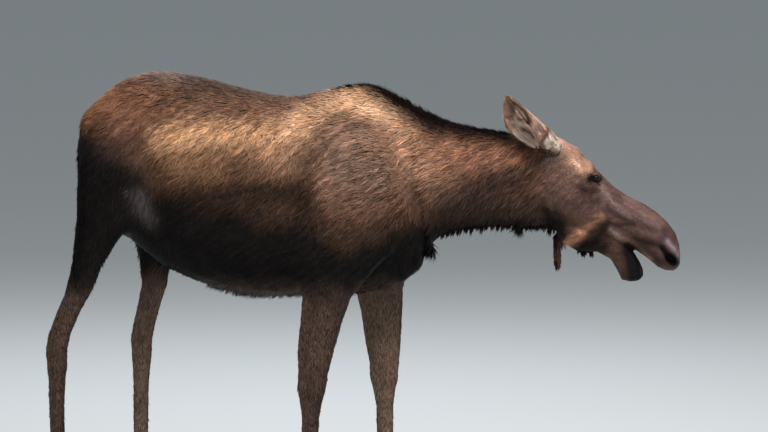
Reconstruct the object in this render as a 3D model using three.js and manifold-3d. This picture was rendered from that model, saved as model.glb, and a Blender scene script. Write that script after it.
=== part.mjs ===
// A cow moose, life size and still, standing with her neck stretched forward, her head held low and her mouth open.
//
// Millimetres. +X is the way she faces, +Y is her left, +Z is up, and the ground is Z = 0.
// Every fleshy part is a loft: a row of rounded sections whose sizes are read from a short table of named stations.
// Where two lofts meet, one is cut back by the other with a thin gap, so that the parts touch without overlap.

import * as THREE from "three";
import { mergeVertices } from "three/addons/utils/BufferGeometryUtils.js";
import Module from "manifold-3d";

const wasm = await Module();
wasm.setup();

// ---------------------------------------------------------------- driving dimensions

const WITHERS_HEIGHT = 1740; // top of the shoulder hump, coat included
const CROUP_HEIGHT = 1786; // top of the rump, a little above the hump while the neck is lowered
const BELLY_HEIGHT = 882; // lowest point of the belly
const TRUNK_HALF_WIDTH = 305; // at the widest of the belly
const HEAD_SLOPE = THREE.MathUtils.degToRad(44.5); // fall of the head's long axis below level
const HEAD_LENGTH = 706; // poll to the tip of the nose
const EAR_LENGTH = 274;
const EYE_RADIUS = 18;
const HOOF_HEIGHT = 78;
const GAP = 0.4; // left between neighbouring parts

const POLL = new THREE.Vector3(1234, 0, 1521); // top of the head between the ears
const RIGHT = -1; // her right side is -Y
const LEFT = 1;

// ---------------------------------------------------------------- small mathematics

/** The values of a table of stations at one place, smoothly interpolated without overshoot. */
function stationAt(table, place) {
  const last = table.length - 1;
  const rising = table[last].at > table[0].at ? 1 : -1;
  let i = 0;
  while (i < last - 1 && rising * (place - table[i + 1].at) > 0) i++;
  const span = table[i + 1].at - table[i].at;
  const t = THREE.MathUtils.clamp((place - table[i].at) / span, 0, 1);
  const slope = (key, k) =>
    (table[k + 1][key] - table[k][key]) / (table[k + 1].at - table[k].at);
  const tangent = (key, k) => {
    if (k === 0) return slope(key, 0);
    if (k === last) return slope(key, last - 1);
    const [before, after] = [slope(key, k - 1), slope(key, k)];
    return before * after <= 0 ? 0 : (2 * before * after) / (before + after);
  };
  const found = { at: place };
  for (const key of Object.keys(table[0])) {
    if (key === "at") continue;
    const [a, b] = [table[i][key], table[i + 1][key]];
    const [ta, tb] = [tangent(key, i) * span, tangent(key, i + 1) * span];
    const [t2, t3] = [t * t, t * t * t];
    found[key] =
      (2 * t3 - 3 * t2 + 1) * a +
      (t3 - 2 * t2 + t) * ta +
      (3 * t2 - 2 * t3) * b +
      (t3 - t2) * tb;
  }
  return found;
}

/** The places of a loft's rings: every station, and between them as many as keep the spacing under `reach`. */
function places(table, reach) {
  const found = [];
  for (let i = 0; i < table.length - 1; i++) {
    const span = table[i + 1].at - table[i].at;
    const steps = Math.ceil(Math.abs(span) / reach);
    for (let k = 0; k < steps; k++) found.push(table[i].at + (span * k) / steps);
  }
  return [...found, table[table.length - 1].at];
}

/** A rounded section: up and down are its reach along `up`, half its reach to each side, and the powers its squareness. */
function section({ centre, up, across, above, below, half, crown = 2, keel = 2, sides }) {
  const ring = [];
  for (let i = 0; i < sides; i++) {
    const turn = (2 * Math.PI * i) / sides;
    const [c, s] = [Math.cos(turn), Math.sin(turn)];
    const power = 2 / (s > 0 ? crown : keel);
    const sideways = half * Math.sign(c) * Math.abs(c) ** power;
    const upward = (s > 0 ? above : below) * Math.sign(s) * Math.abs(s) ** power;
    ring.push(centre.clone().addScaledVector(across, sideways).addScaledVector(up, upward));
  }
  return ring;
}

// ---------------------------------------------------------------- solids

/** One closed surface through a row of rings with equal numbers of points, capped at both ends. */
function loft(rings) {
  const sides = rings[0].length;
  const points = rings.flat();
  const faces = [];
  for (let r = 0; r < rings.length - 1; r++)
    for (let i = 0; i < sides; i++) {
      const [a, b] = [r * sides + i, r * sides + ((i + 1) % sides)];
      faces.push(a, b, a + sides, b, b + sides, a + sides);
    }
  for (const [ring, order] of [
    [0, 1],
    [rings.length - 1, -1],
  ]) {
    const middle = new THREE.Vector3();
    rings[ring].forEach((p) => middle.addScaledVector(p, 1 / sides));
    points.push(middle);
    const hub = points.length - 1;
    for (let i = 0; i < sides; i++) {
      const [a, b] = [ring * sides + i, ring * sides + ((i + 1) % sides)];
      faces.push(...(order > 0 ? [hub, b, a] : [hub, a, b]));
    }
  }
  const geometry = new THREE.BufferGeometry().setFromPoints(points);
  geometry.setIndex(faces);
  return solidOf(geometry);
}

/** A closed geometry as a solid, turned right side out. */
function solidOf(geometry) {
  geometry.deleteAttribute("normal");
  geometry.deleteAttribute("uv");
  const merged = mergeVertices(geometry, 1e-3);
  const vertProperties = new Float32Array(merged.attributes.position.array);
  const triVerts = new Uint32Array(merged.index.array);
  const made = new wasm.Manifold(new wasm.Mesh({ numProp: 3, vertProperties, triVerts }));
  if (made.volume() >= 0) return made;
  for (let i = 0; i < triVerts.length; i += 3)
    [triVerts[i + 1], triVerts[i + 2]] = [triVerts[i + 2], triVerts[i + 1]];
  return new wasm.Manifold(new wasm.Mesh({ numProp: 3, vertProperties, triVerts }));
}

/** The largest body of a solid that a cut has left in pieces. */
function largest(solid) {
  return solid.decompose().reduce((a, b) => (a.volume() > b.volume() ? a : b));
}

/** A solid less each of its neighbours. */
function less(solid, ...neighbours) {
  return largest(neighbours.reduce((rest, n) => rest.subtract(n), solid));
}

/** The solid above (+1) or below (-1) a slanted plane through a point. */
function beyond(solid, point, normal, side) {
  const size = 4000;
  const block = new THREE.BoxGeometry(size, size, size).toNonIndexed();
  block.translate(0, 0, (side * size) / 2 + (side * GAP) / 2);
  block.applyQuaternion(
    new THREE.Quaternion().setFromUnitVectors(new THREE.Vector3(0, 0, 1), normal.clone().normalize()),
  );
  block.translate(point.x, point.y, point.z);
  return largest(solid.intersect(solidOf(block)));
}

// ---------------------------------------------------------------- trunk

const ACROSS = new THREE.Vector3(0, 1, 0);
const UP = new THREE.Vector3(0, 0, 1);

// Stations from the rump to the chest. wide is the share of the depth at which the section is widest.
const TRUNK = [
  { at: -678, top: 1545, bottom: 1400, half: 45, wide: 0.5, crown: 2, keel: 2 }, // behind the pin bones
  { at: -666, top: 1592, bottom: 1320, half: 100, wide: 0.5, crown: 2, keel: 2 },
  { at: -640, top: 1640, bottom: 1240, half: 140, wide: 0.5, crown: 1.9, keel: 2 }, // pin bones
  { at: -580, top: 1694, bottom: 1170, half: 174, wide: 0.52, crown: 1.9, keel: 2 },
  { at: -480, top: 1762, bottom: 1110, half: 206, wide: 0.55, crown: 1.9, keel: 2 },
  { at: -352, top: CROUP_HEIGHT, bottom: 1010, half: 242, wide: 0.56, crown: 2, keel: 2 }, // hip bones
  { at: -200, top: 1764, bottom: 938, half: 286, wide: 0.48, crown: 1.95, keel: 2.1 }, // flank
  { at: 20, top: 1709, bottom: BELLY_HEIGHT, half: TRUNK_HALF_WIDTH, wide: 0.45, crown: 1.9, keel: 2.2 },
  { at: 176, top: 1686, bottom: 884, half: 292, wide: 0.45, crown: 1.75, keel: 2.2 }, // last of the ribs
  { at: 290, top: 1710, bottom: 886, half: 254, wide: 0.44, crown: 1.6, keel: 2.1 },
  { at: 372, top: 1730, bottom: 890, half: 222, wide: 0.44, crown: 1.5, keel: 2 },
  { at: 468, top: WITHERS_HEIGHT, bottom: 900, half: 196, wide: 0.44, crown: 1.45, keel: 2 }, // withers
  { at: 548, top: 1717, bottom: 916, half: 182, wide: 0.44, crown: 1.5, keel: 2 },
  { at: 628, top: 1662, bottom: 946, half: 160, wide: 0.44, crown: 1.6, keel: 2 },
  { at: 690, top: 1560, bottom: 1000, half: 130, wide: 0.46, crown: 1.8, keel: 2 }, // breast
  { at: 722, top: 1400, bottom: 1060, half: 70, wide: 0.5, crown: 2, keel: 2 },
];

function trunkSolid(grow = 0) {
  const rings = places(TRUNK, 80).map((at) => {
    const s = stationAt(TRUNK, at);
    const middle = s.bottom + (s.top - s.bottom) * s.wide;
    return section({
      centre: new THREE.Vector3(at, 0, middle),
      up: UP,
      across: ACROSS,
      above: s.top - middle + grow,
      below: middle - s.bottom + grow,
      half: s.half + grow,
      crown: s.crown,
      keel: s.keel,
      sides: 24,
    });
  });
  return loft(rings);
}

// ---------------------------------------------------------------- neck

const NECK = [
  { at: 560, top: 1690, bottom: 1000, half: 150, crown: 1.6, keel: 2 },
  { at: 640, top: 1656, bottom: 1010, half: 158, crown: 1.6, keel: 2 },
  { at: 724, top: 1610, bottom: 1064, half: 150, crown: 1.6, keel: 2 },
  { at: 800, top: 1580, bottom: 1108, half: 134, crown: 1.65, keel: 2 },
  { at: 900, top: 1556, bottom: 1134, half: 116, crown: 1.75, keel: 2 },
  { at: 1036, top: 1535, bottom: 1143, half: 102, crown: 1.85, keel: 2 },
  { at: 1150, top: 1520, bottom: 1142, half: 98, crown: 2, keel: 2 },
  { at: 1235, top: 1505, bottom: 1130, half: 94, crown: 2, keel: 2 },
  { at: 1290, top: 1440, bottom: 1140, half: 80, crown: 2, keel: 2 },
];

function neckSolid(grow = 0) {
  const rings = places(NECK, 82).map((at) => {
    const s = stationAt(NECK, at);
    const middle = s.bottom + (s.top - s.bottom) * 0.48;
    return section({
      centre: new THREE.Vector3(at, 0, middle),
      up: UP,
      across: ACROSS,
      above: s.top - middle + grow,
      below: middle - s.bottom + grow,
      half: s.half + grow,
      crown: s.crown,
      keel: s.keel,
      sides: 22,
    });
  });
  return loft(rings);
}

// ---------------------------------------------------------------- head

// The head has its own axes: along runs from the poll to the nose, and over is square to it, away from the jaw.
const ALONG = new THREE.Vector3(Math.cos(HEAD_SLOPE), 0, -Math.sin(HEAD_SLOPE));
const OVER = new THREE.Vector3(Math.sin(HEAD_SLOPE), 0, Math.cos(HEAD_SLOPE));

/** A point given by its distance along the head, its height over the axis and its place across. */
function onHead(along, over, across = 0) {
  return POLL.clone()
    .addScaledVector(ALONG, along)
    .addScaledVector(OVER, over)
    .addScaledVector(ACROSS, across);
}

// Skull and upper muzzle. over and under are the profile's two edges, rise the height of the widest place.
const SKULL = [
  { at: -58, over: -62, under: -190, half: 58, rise: -125, crown: 2, keel: 2 },
  { at: -25, over: -14, under: -238, half: 88, rise: -110, crown: 2, keel: 2 },
  { at: 20, over: 7, under: -276, half: 99, rise: -98, crown: 2.2, keel: 2 }, // ears
  { at: 95, over: 22, under: -292, half: 103, rise: -88, crown: 2.3, keel: 2 },
  { at: 165, over: 13, under: -296, half: 108, rise: -72, crown: 2.5, keel: 2 }, // brow
  { at: 228, over: 12, under: -292, half: 108, rise: -62, crown: 2.5, keel: 1.9 }, // eyes
  { at: 300, over: 13, under: -272, half: 96, rise: -84, crown: 2.2, keel: 1.9 }, // cheek
  { at: 372, over: 27, under: -220, half: 82, rise: -66, crown: 2.1, keel: 1.9 },
  { at: 430, over: 48, under: -163, half: 73, rise: -38, crown: 2.1, keel: 2 },
  { at: 490, over: 60, under: -118, half: 69, rise: -26, crown: 2.1, keel: 2.2 }, // corner of the mouth
  { at: 550, over: 63, under: -105, half: 72, rise: -24, crown: 2.1, keel: 2.4 },
  { at: 605, over: 54, under: -96, half: 80, rise: -26, crown: 2.2, keel: 2.4 }, // nostrils
  { at: 648, over: 32, under: -94, half: 82, rise: -32, crown: 2.2, keel: 2.3 },
  { at: 682, over: 4, under: -81, half: 70, rise: -40, crown: 2.1, keel: 2.2 },
  { at: HEAD_LENGTH, over: -24, under: -60, half: 38, rise: -42, crown: 2, keel: 2 }, // tip of the nose
];

function headSection(s, grow, sides) {
  return section({
    centre: onHead(s.at, s.rise),
    up: OVER,
    across: ACROSS,
    above: s.over - s.rise + grow,
    below: s.rise - s.under + grow,
    half: s.half + grow,
    crown: s.crown,
    keel: s.keel,
    sides,
  });
}

function skullSolid(grow = 0) {
  return loft(places(SKULL, 80).map((at) => headSection(stationAt(SKULL, at), grow, 22)));
}

// Lower jaw, dropped open. It swings down from the cheek, and the chin and lower lip end in a blunt pad.
const JAW = [
  { at: 150, over: -170, under: -282, half: 52, rise: -226, crown: 2, keel: 2 },
  { at: 230, over: -150, under: -300, half: 70, rise: -226, crown: 2, keel: 2 },
  { at: 310, over: -130, under: -291, half: 74, rise: -220, crown: 2, keel: 2 }, // angle of the jaw
  { at: 380, over: -120, under: -272, half: 66, rise: -200, crown: 2, keel: 2 },
  { at: 436, over: -114, under: -220, half: 54, rise: -172, crown: 2, keel: 2 },
  { at: 495, over: -114, under: -204, half: 44, rise: -160, crown: 2, keel: 2 }, // behind the chin
  { at: 545, over: -118, under: -218, half: 41, rise: -168, crown: 2.1, keel: 2.1 },
  { at: 584, over: -128, under: -232, half: 43, rise: -180, crown: 2.2, keel: 2.2 }, // chin
  { at: 614, over: -140, under: -213, half: 38, rise: -177, crown: 2.2, keel: 2.2 },
  { at: 632, over: -154, under: -190, half: 22, rise: -172, crown: 2, keel: 2 }, // lower lip
];

function jawSolid(grow = 0) {
  return loft(places(JAW, 90).map((at) => headSection(stationAt(JAW, at), grow, 16)));
}

/** A ball, stretched along each axis, at a place on the head. */
function ball(centre, radii, turn = HEAD_SLOPE, detail = 6) {
  const shape = new THREE.SphereGeometry(1, detail + 3, detail);
  shape.scale(radii.x, radii.y, radii.z);
  shape.rotateY(turn);
  shape.translate(centre.x, centre.y, centre.z);
  return solidOf(shape);
}

const EYE = { along: 216, over: -11, across: 77 };

function eyeSolid(side, grow = 0) {
  const r = EYE_RADIUS + grow;
  return ball(onHead(EYE.along, EYE.over, side * EYE.across), new THREE.Vector3(r, r, r), 0, 7);
}

/** The brow that stands over each eye. */
function browSolid(side) {
  return ball(onHead(172, -6, side * 66), new THREE.Vector3(46, 32, 20), HEAD_SLOPE - 0.1);
}

/** The large comma-shaped nostril, hollowed forward and down from its upper corner. */
function nostrilSolid(side) {
  const opening = ball(onHead(666, -30, side * 72), new THREE.Vector3(25, 27, 19), HEAD_SLOPE + 0.3);
  const corner = ball(onHead(622, -24, side * 82), new THREE.Vector3(30, 13, 9), HEAD_SLOPE + 0.3);
  return opening.add(corner);
}

// ---------------------------------------------------------------- ears

// A cupped leaf, closed to a tube at its root. front and back are how far round it reaches from the middle of its
// outside, in radians; ahead is how far the tube stands before the ear's axis.
const EAR = [
  { at: -0.08, radius: 30, back: 2.6, front: 2.95, ahead: 10 },
  { at: 0.05, radius: 35, back: 2.3, front: 2.95, ahead: 11 },
  { at: 0.15, radius: 49, back: 1.95, front: 2.85, ahead: 12 },
  { at: 0.27, radius: 63, back: 1.75, front: 2.45, ahead: 11 },
  { at: 0.45, radius: 68, back: 1.65, front: 2, ahead: 6 },
  { at: 0.6, radius: 66, back: 1.6, front: 1.85, ahead: 3 },
  { at: 0.75, radius: 58, back: 1.5, front: 1.78, ahead: 1 },
  { at: 0.88, radius: 45, back: 1.35, front: 1.55, ahead: 0 },
  { at: 0.96, radius: 28, back: 1.25, front: 1.35, ahead: 0 },
  { at: 1, radius: 12, back: 1.1, front: 1.2, ahead: 0 },
];
const EAR_WALL = 8;
const EAR_LEAN = { right: new THREE.Vector3(-0.69, -0.18, 0.7), left: new THREE.Vector3(-0.64, 0.66, 0.42) }; // root to tip
const EAR_TURN = 0.35; // how far the open side is turned to the back, in radians
const EAR_INSET = 34; // from the ear's axis to its outside

function earSolid(side, grow = 0) {
  const root = onHead(8, -48, side * 76);
  const lean = (side < 0 ? EAR_LEAN.right : EAR_LEAN.left).clone().normalize(); // the left one is let down further
  const face = new THREE.Vector3(-0.3, side * 0.92, -0.3); // the open side looks out, back and a little down
  face.addScaledVector(lean, -face.dot(lean)).normalize().applyAxisAngle(lean, side * EAR_TURN);
  const edge = new THREE.Vector3().crossVectors(lean, face);
  const steps = 5;
  const rings = places(EAR, 1).map((at) => {
    const s = stationAt(EAR, at);
    const wall = Math.min(EAR_WALL, s.radius * 0.6) + grow;
    const centre = root.clone().addScaledVector(lean, at * EAR_LENGTH);
    centre.addScaledVector(face, s.radius - EAR_INSET).addScaledVector(edge, -side * s.ahead);
    const [from, to] = side < 0 ? [-s.back, s.front] : [-s.front, s.back];
    const arc = (r, first, last) =>
      Array.from({ length: steps + 1 }, (_, i) => {
        const turn = first + ((last - first) * i) / steps;
        return centre
          .clone()
          .addScaledVector(face, -r * Math.cos(turn))
          .addScaledVector(edge, r * Math.sin(turn));
      });
    return [...arc(s.radius + grow, from, to), ...arc(s.radius - wall, to, from)];
  });
  return loft(rings);
}

// ---------------------------------------------------------------- legs

/** A leg's section lies level. front and back reach from the bone line at that height, half to each side of it. */
function limb(girth, line, side, grow = 0) {
  const rings = places(girth, 160).map((at) => {
    const s = stationAt(girth, at);
    const bone = stationAt(line, at);
    const half = (s.outer + s.inner) / 2;
    const y = side * (bone.y + (s.outer - s.inner) / 2);
    return section({
      centre: new THREE.Vector3(bone.x, y, at),
      up: new THREE.Vector3(1, 0, 0),
      across: ACROSS,
      above: s.front + grow,
      below: s.back + grow,
      half: half + grow,
      crown: s.square,
      keel: s.square,
      sides: 12,
    });
  });
  return loft(rings);
}

const FORELEG = [
  { at: 1610, front: 60, back: 80, outer: -24, inner: 40, square: 2.8 }, // top of the shoulder blade
  { at: 1500, front: 104, back: 116, outer: 54, inner: 50, square: 2.7 },
  { at: 1360, front: 150, back: 158, outer: 84, inner: 60, square: 2.5 },
  { at: 1220, front: 184, back: 190, outer: 88, inner: 70, square: 2.4 }, // point of the shoulder
  { at: 1100, front: 174, back: 190, outer: 78, inner: 76, square: 2.3 },
  { at: 990, front: 128, back: 156, outer: 64, inner: 72, square: 2.2 }, // elbow
  { at: 900, front: 98, back: 106, outer: 56, inner: 58, square: 2.1 },
  { at: 800, front: 87, back: 88, outer: 50, inner: 50, square: 2.1 }, // forearm
  { at: 690, front: 76, back: 80, outer: 43, inner: 43, square: 2.1 },
  { at: 600, front: 64, back: 66, outer: 42, inner: 42, square: 2.1 },
  { at: 540, front: 60, back: 66, outer: 44, inner: 44, square: 2.1 }, // knee
  { at: 480, front: 46, back: 52, outer: 37, inner: 37, square: 2.1 },
  { at: 420, front: 37, back: 41, outer: 31, inner: 31, square: 2.1 },
  { at: 300, front: 35, back: 39, outer: 30, inner: 30, square: 2.1 }, // cannon
  { at: 225, front: 37, back: 43, outer: 34, inner: 34, square: 2.1 },
  { at: 172, front: 42, back: 54, outer: 42, inner: 42, square: 2.1 }, // fetlock
  { at: 118, front: 48, back: 50, outer: 44, inner: 44, square: 2.1 },
  { at: HOOF_HEIGHT - 8, front: 60, back: 56, outer: 52, inner: 52, square: 2.1 }, // coronet
];

const HINDLEG = [
  { at: 1670, front: 90, back: 70, outer: -26, inner: 50, square: 2.6 },
  { at: 1560, front: 140, back: 110, outer: 60, inner: 60, square: 2.6 }, // hip
  { at: 1440, front: 180, back: 140, outer: 92, inner: 80, square: 2.5 },
  { at: 1320, front: 184, back: 142, outer: 100, inner: 90, square: 2.4 }, // thigh
  { at: 1210, front: 142, back: 116, outer: 90, inner: 86, square: 2.3 }, // stifle
  { at: 1130, front: 98, back: 96, outer: 70, inner: 70, square: 2.2 },
  { at: 1020, front: 66, back: 66, outer: 50, inner: 52, square: 2.1 }, // gaskin
  { at: 917, front: 55, back: 55, outer: 42, inner: 42, square: 2.1 },
  { at: 833, front: 49, back: 50, outer: 37, inner: 37, square: 2.1 },
  { at: 755, front: 47, back: 48, outer: 36, inner: 36, square: 2.1 },
  { at: 690, front: 44, back: 50, outer: 39, inner: 39, square: 2.1 }, // point of the hock
  { at: 630, front: 47, back: 42, outer: 39, inner: 39, square: 2.1 },
  { at: 565, front: 40, back: 36, outer: 33, inner: 33, square: 2.1 },
  { at: 480, front: 34, back: 35, outer: 29, inner: 29, square: 2.1 },
  { at: 300, front: 32, back: 35, outer: 28, inner: 28, square: 2.1 }, // cannon
  { at: 225, front: 34, back: 38, outer: 32, inner: 32, square: 2.1 },
  { at: 172, front: 40, back: 50, outer: 40, inner: 40, square: 2.1 }, // fetlock
  { at: 118, front: 46, back: 46, outer: 42, inner: 42, square: 2.1 },
  { at: HOOF_HEIGHT - 8, front: 56, back: 52, outer: 48, inner: 48, square: 2.1 }, // coronet
];

// The bone lines: where each leg's middle is at each height. The right legs trail and the left ones lead.
const LEG_LINES = {
  foreleg_right: [
    { at: 1620, x: 430, y: 96 },
    { at: 1360, x: 470, y: 140 },
    { at: 1220, x: 462, y: 158 },
    { at: 1100, x: 418, y: 168 },
    { at: 980, x: 352, y: 176 },
    { at: 880, x: 306, y: 180 },
    { at: 800, x: 288, y: 182 },
    { at: 690, x: 268, y: 184 },
    { at: 540, x: 252, y: 186 },
    { at: 172, x: 240, y: 190 },
    { at: 60, x: 282, y: 192 },
  ],
  foreleg_left: [
    { at: 1620, x: 430, y: 96 },
    { at: 1360, x: 480, y: 140 },
    { at: 1220, x: 486, y: 158 },
    { at: 1100, x: 496, y: 168 },
    { at: 980, x: 512, y: 174 },
    { at: 880, x: 522, y: 178 },
    { at: 800, x: 528, y: 180 },
    { at: 690, x: 534, y: 182 },
    { at: 540, x: 540, y: 184 },
    { at: 172, x: 546, y: 188 },
    { at: 60, x: 590, y: 190 },
  ],
  hindleg_right: [
    { at: 1660, x: -470, y: 150 },
    { at: 1440, x: -536, y: 160 },
    { at: 1320, x: -546, y: 156 },
    { at: 1210, x: -574, y: 152 },
    { at: 1130, x: -606, y: 152 },
    { at: 1020, x: -645, y: 154 },
    { at: 917, x: -680, y: 158 },
    { at: 833, x: -720, y: 160 },
    { at: 755, x: -752, y: 162 },
    { at: 690, x: -764, y: 163 },
    { at: 600, x: -768, y: 164 },
    { at: 172, x: -756, y: 170 },
    { at: 60, x: -712, y: 172 },
  ],
  hindleg_left: [
    { at: 1660, x: -470, y: 150 },
    { at: 1440, x: -516, y: 160 },
    { at: 1320, x: -488, y: 156 },
    { at: 1210, x: -434, y: 152 },
    { at: 1130, x: -396, y: 152 },
    { at: 1020, x: -384, y: 154 },
    { at: 917, x: -388, y: 158 },
    { at: 833, x: -408, y: 160 },
    { at: 755, x: -428, y: 162 },
    { at: 690, x: -438, y: 163 },
    { at: 600, x: -444, y: 164 },
    { at: 172, x: -444, y: 170 },
    { at: 60, x: -402, y: 172 },
  ],
};

const LEGS = {
  foreleg_right: { girth: FORELEG, side: RIGHT, joint: 545, claw: 74, breadth: 27 },
  foreleg_left: { girth: FORELEG, side: LEFT, joint: 545, claw: 74, breadth: 27 },
  hindleg_right: { girth: HINDLEG, side: RIGHT, joint: 640, claw: 69, breadth: 25 },
  hindleg_left: { girth: HINDLEG, side: LEFT, joint: 640, claw: 69, breadth: 25 },
};

// ---------------------------------------------------------------- hooves

/** One claw of a cloven hoof: flat underneath, pointed in front, its wall leaning back to the coronet. */
function clawSolid(centre, length, breadth, inward) {
  const levels = [
    { at: 0, size: 1, back: 0 },
    { at: 6, size: 1.04, back: 0 },
    { at: 42, size: 0.9, back: 12 },
    { at: HOOF_HEIGHT, size: 0.7, back: 26 },
  ];
  const rings = levels.map(({ at, size, back }) =>
    Array.from({ length: 10 }, (_, i) => {
      const turn = (2 * Math.PI * i) / 10;
      const [c, s] = [Math.cos(turn), Math.sin(turn)];
      const taper = c > 0 ? 1 - 0.55 * c * c : 1;
      const bend = c > 0 ? inward * 8 * c * c : 0; // the tips curve towards each other
      return new THREE.Vector3(
        centre.x + c * length * size - back,
        centre.y + s * breadth * size * taper + bend,
        at,
      );
    }),
  );
  return loft(rings);
}

/** A dew claw: a small cone that points down behind the pastern. */
function dewclawSolid(top, side) {
  const shape = new THREE.ConeGeometry(15, 52, 6, 1);
  shape.rotateX(-Math.PI / 2); // its tip to -Z
  shape.rotateY(0.45); // and a little forward
  shape.translate(top.x, top.y + side * 4, top.z);
  return solidOf(shape);
}

// ---------------------------------------------------------------- tail and dewlap

/** A short hanging piece: level sections down a line, wider across than it is thick. */
function pendant(table, grow = 0) {
  const rings = places(table, 70).map((at) => {
    const s = stationAt(table, at);
    return section({
      centre: new THREE.Vector3(s.x, 0, at),
      up: new THREE.Vector3(1, 0, 0),
      across: ACROSS,
      above: s.thick + grow,
      below: s.thick + grow,
      half: s.half + grow,
      sides: 12,
    });
  });
  return loft(rings);
}

const TAIL = [
  { at: 1560, x: -650, thick: 22, half: 24 },
  { at: 1510, x: -668, thick: 20, half: 30 },
  { at: 1450, x: -676, thick: 16, half: 28 },
  { at: 1408, x: -678, thick: 8, half: 12 },
];

const DEWLAP = [
  { at: 1168, x: 1236, thick: 30, half: 28 },
  { at: 1118, x: 1230, thick: 15, half: 14 },
  { at: 1064, x: 1230, thick: 14, half: 11 },
  { at: 1026, x: 1232, thick: 14, half: 10 },
  { at: 1002, x: 1229, thick: 6, half: 5 },
];

// ---------------------------------------------------------------- materials

const coat = (color) => new THREE.MeshStandardMaterial({ color, roughness: 0.85, metalness: 0 });
const MATERIALS = {
  back: coat(0x5a4030),
  leg: coat(0x4a3a30),
  head: coat(0x5e4638),
  jaw: coat(0x2b2320),
  ear: coat(0x8a6a52),
  hoof: new THREE.MeshStandardMaterial({ color: 0x2a2522, roughness: 0.5, metalness: 0 }),
  eye: new THREE.MeshStandardMaterial({ color: 0x120d0a, roughness: 0.1, metalness: 0 }),
};

// ---------------------------------------------------------------- assembly

const moose = new THREE.Group();

function add(name, solid, material) {
  const mesh = solid.getMesh();
  const geometry = new THREE.BufferGeometry();
  geometry.setAttribute("position", new THREE.BufferAttribute(mesh.vertProperties, 3));
  geometry.setIndex(new THREE.BufferAttribute(mesh.triVerts, 1));
  geometry.computeVertexNormals();
  const part = new THREE.Mesh(geometry, material);
  part.name = name;
  moose.add(part);
}

const grownTrunk = trunkSolid(GAP);
const eyes = [RIGHT, LEFT].map((side) => eyeSolid(side, GAP));
const hollows = [RIGHT, LEFT].map(nostrilSolid);
const brows = [RIGHT, LEFT].map(browSolid);

// Trunk, neck and head are one body, parted at two slanted planes.
const whole = less(trunkSolid().add(neckSolid()).add(skullSolid()).add(brows[0]).add(brows[1]), ...eyes, ...hollows);
const [breast, throat] = [new THREE.Vector3(672, 0, 1330), new THREE.Vector3(1130, 0, 1330)];
const [shoulderPlane, throatPlane] = [new THREE.Vector3(1, 0, 0.12), new THREE.Vector3(1, 0, -0.2)];
const forward = beyond(whole, breast, shoulderPlane, 1);
add("trunk", beyond(whole, breast, shoulderPlane, -1), MATERIALS.back);
add("neck", beyond(forward, throat, throatPlane, -1), MATERIALS.back);
add("head", beyond(forward, throat, throatPlane, 1), MATERIALS.head);
add("lower_jaw", less(jawSolid(), skullSolid(GAP), neckSolid(GAP)), MATERIALS.jaw);
add("dewlap", less(pendant(DEWLAP), skullSolid(GAP), neckSolid(GAP), jawSolid(GAP)), MATERIALS.jaw);

for (const [side, word] of [
  [RIGHT, "right"],
  [LEFT, "left"],
]) {
  add("eye_" + word, eyeSolid(side), MATERIALS.eye);
  add("ear_" + word, less(earSolid(side), skullSolid(GAP), neckSolid(GAP)), MATERIALS.ear);
}

const grownThighs = [];
for (const [name, leg] of Object.entries(LEGS)) {
  const line = LEG_LINES[name];
  const member = less(limb(leg.girth, line, leg.side), grownTrunk, neckSolid(GAP));
  const bone = stationAt(line, leg.joint);
  const cut = new THREE.Vector3(bone.x, leg.side * bone.y, leg.joint);
  add(name + "_upper", beyond(member, cut, UP, 1), MATERIALS.leg);
  if (leg.girth === HINDLEG) grownThighs.push(limb(leg.girth, line, leg.side, GAP));

  const foot = stationAt(line, HOOF_HEIGHT);
  const middle = new THREE.Vector3(foot.x + 26, leg.side * foot.y, 0);
  const claws = [-1, 1].map((half) => {
    const place = middle.clone().add(new THREE.Vector3(0, half * (leg.breadth + 1.5), 0));
    return clawSolid(place, leg.claw, leg.breadth, -half);
  });
  const shin = beyond(member, cut, UP, -1);
  const pastern = stationAt(line, 128);
  const dews = [-1, 1].map((half) =>
    dewclawSolid(new THREE.Vector3(pastern.x - 50, leg.side * pastern.y + half * 20, 104), half),
  );
  const lower = less(shin, ...claws, ...dews);
  add(name + "_lower", lower, MATERIALS.leg);
  claws.forEach((claw, i) => add(name + (i ? "_hoof_left" : "_hoof_right"), claw, MATERIALS.hoof));
  dews.forEach((dew, i) => add(name + (i ? "_dewclaw_left" : "_dewclaw_right"), dew, MATERIALS.hoof));
}

add("tail", less(pendant(TAIL), grownTrunk, ...grownThighs), MATERIALS.back);

// The origin is the middle of the object's box, on the ground.
const box = new THREE.Box3().setFromObject(moose);
moose.position.x = -(box.min.x + box.max.x) / 2;
moose.position.y = -(box.min.y + box.max.y) / 2;
moose.updateMatrixWorld(true);

export default moose;
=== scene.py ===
"""A cow moose, life size and still, with her neck stretched forward, her head held low and her mouth open.

One skin covers the flesh. The coat is mesh: pointed tufts that lie along the body, each a thin folded blade.
"""

import logging
import math
from dataclasses import dataclass, field
from enum import Enum

import bmesh
import bpy
import numpy as np
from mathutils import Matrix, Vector
from mathutils.bvhtree import BVHTree

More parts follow.
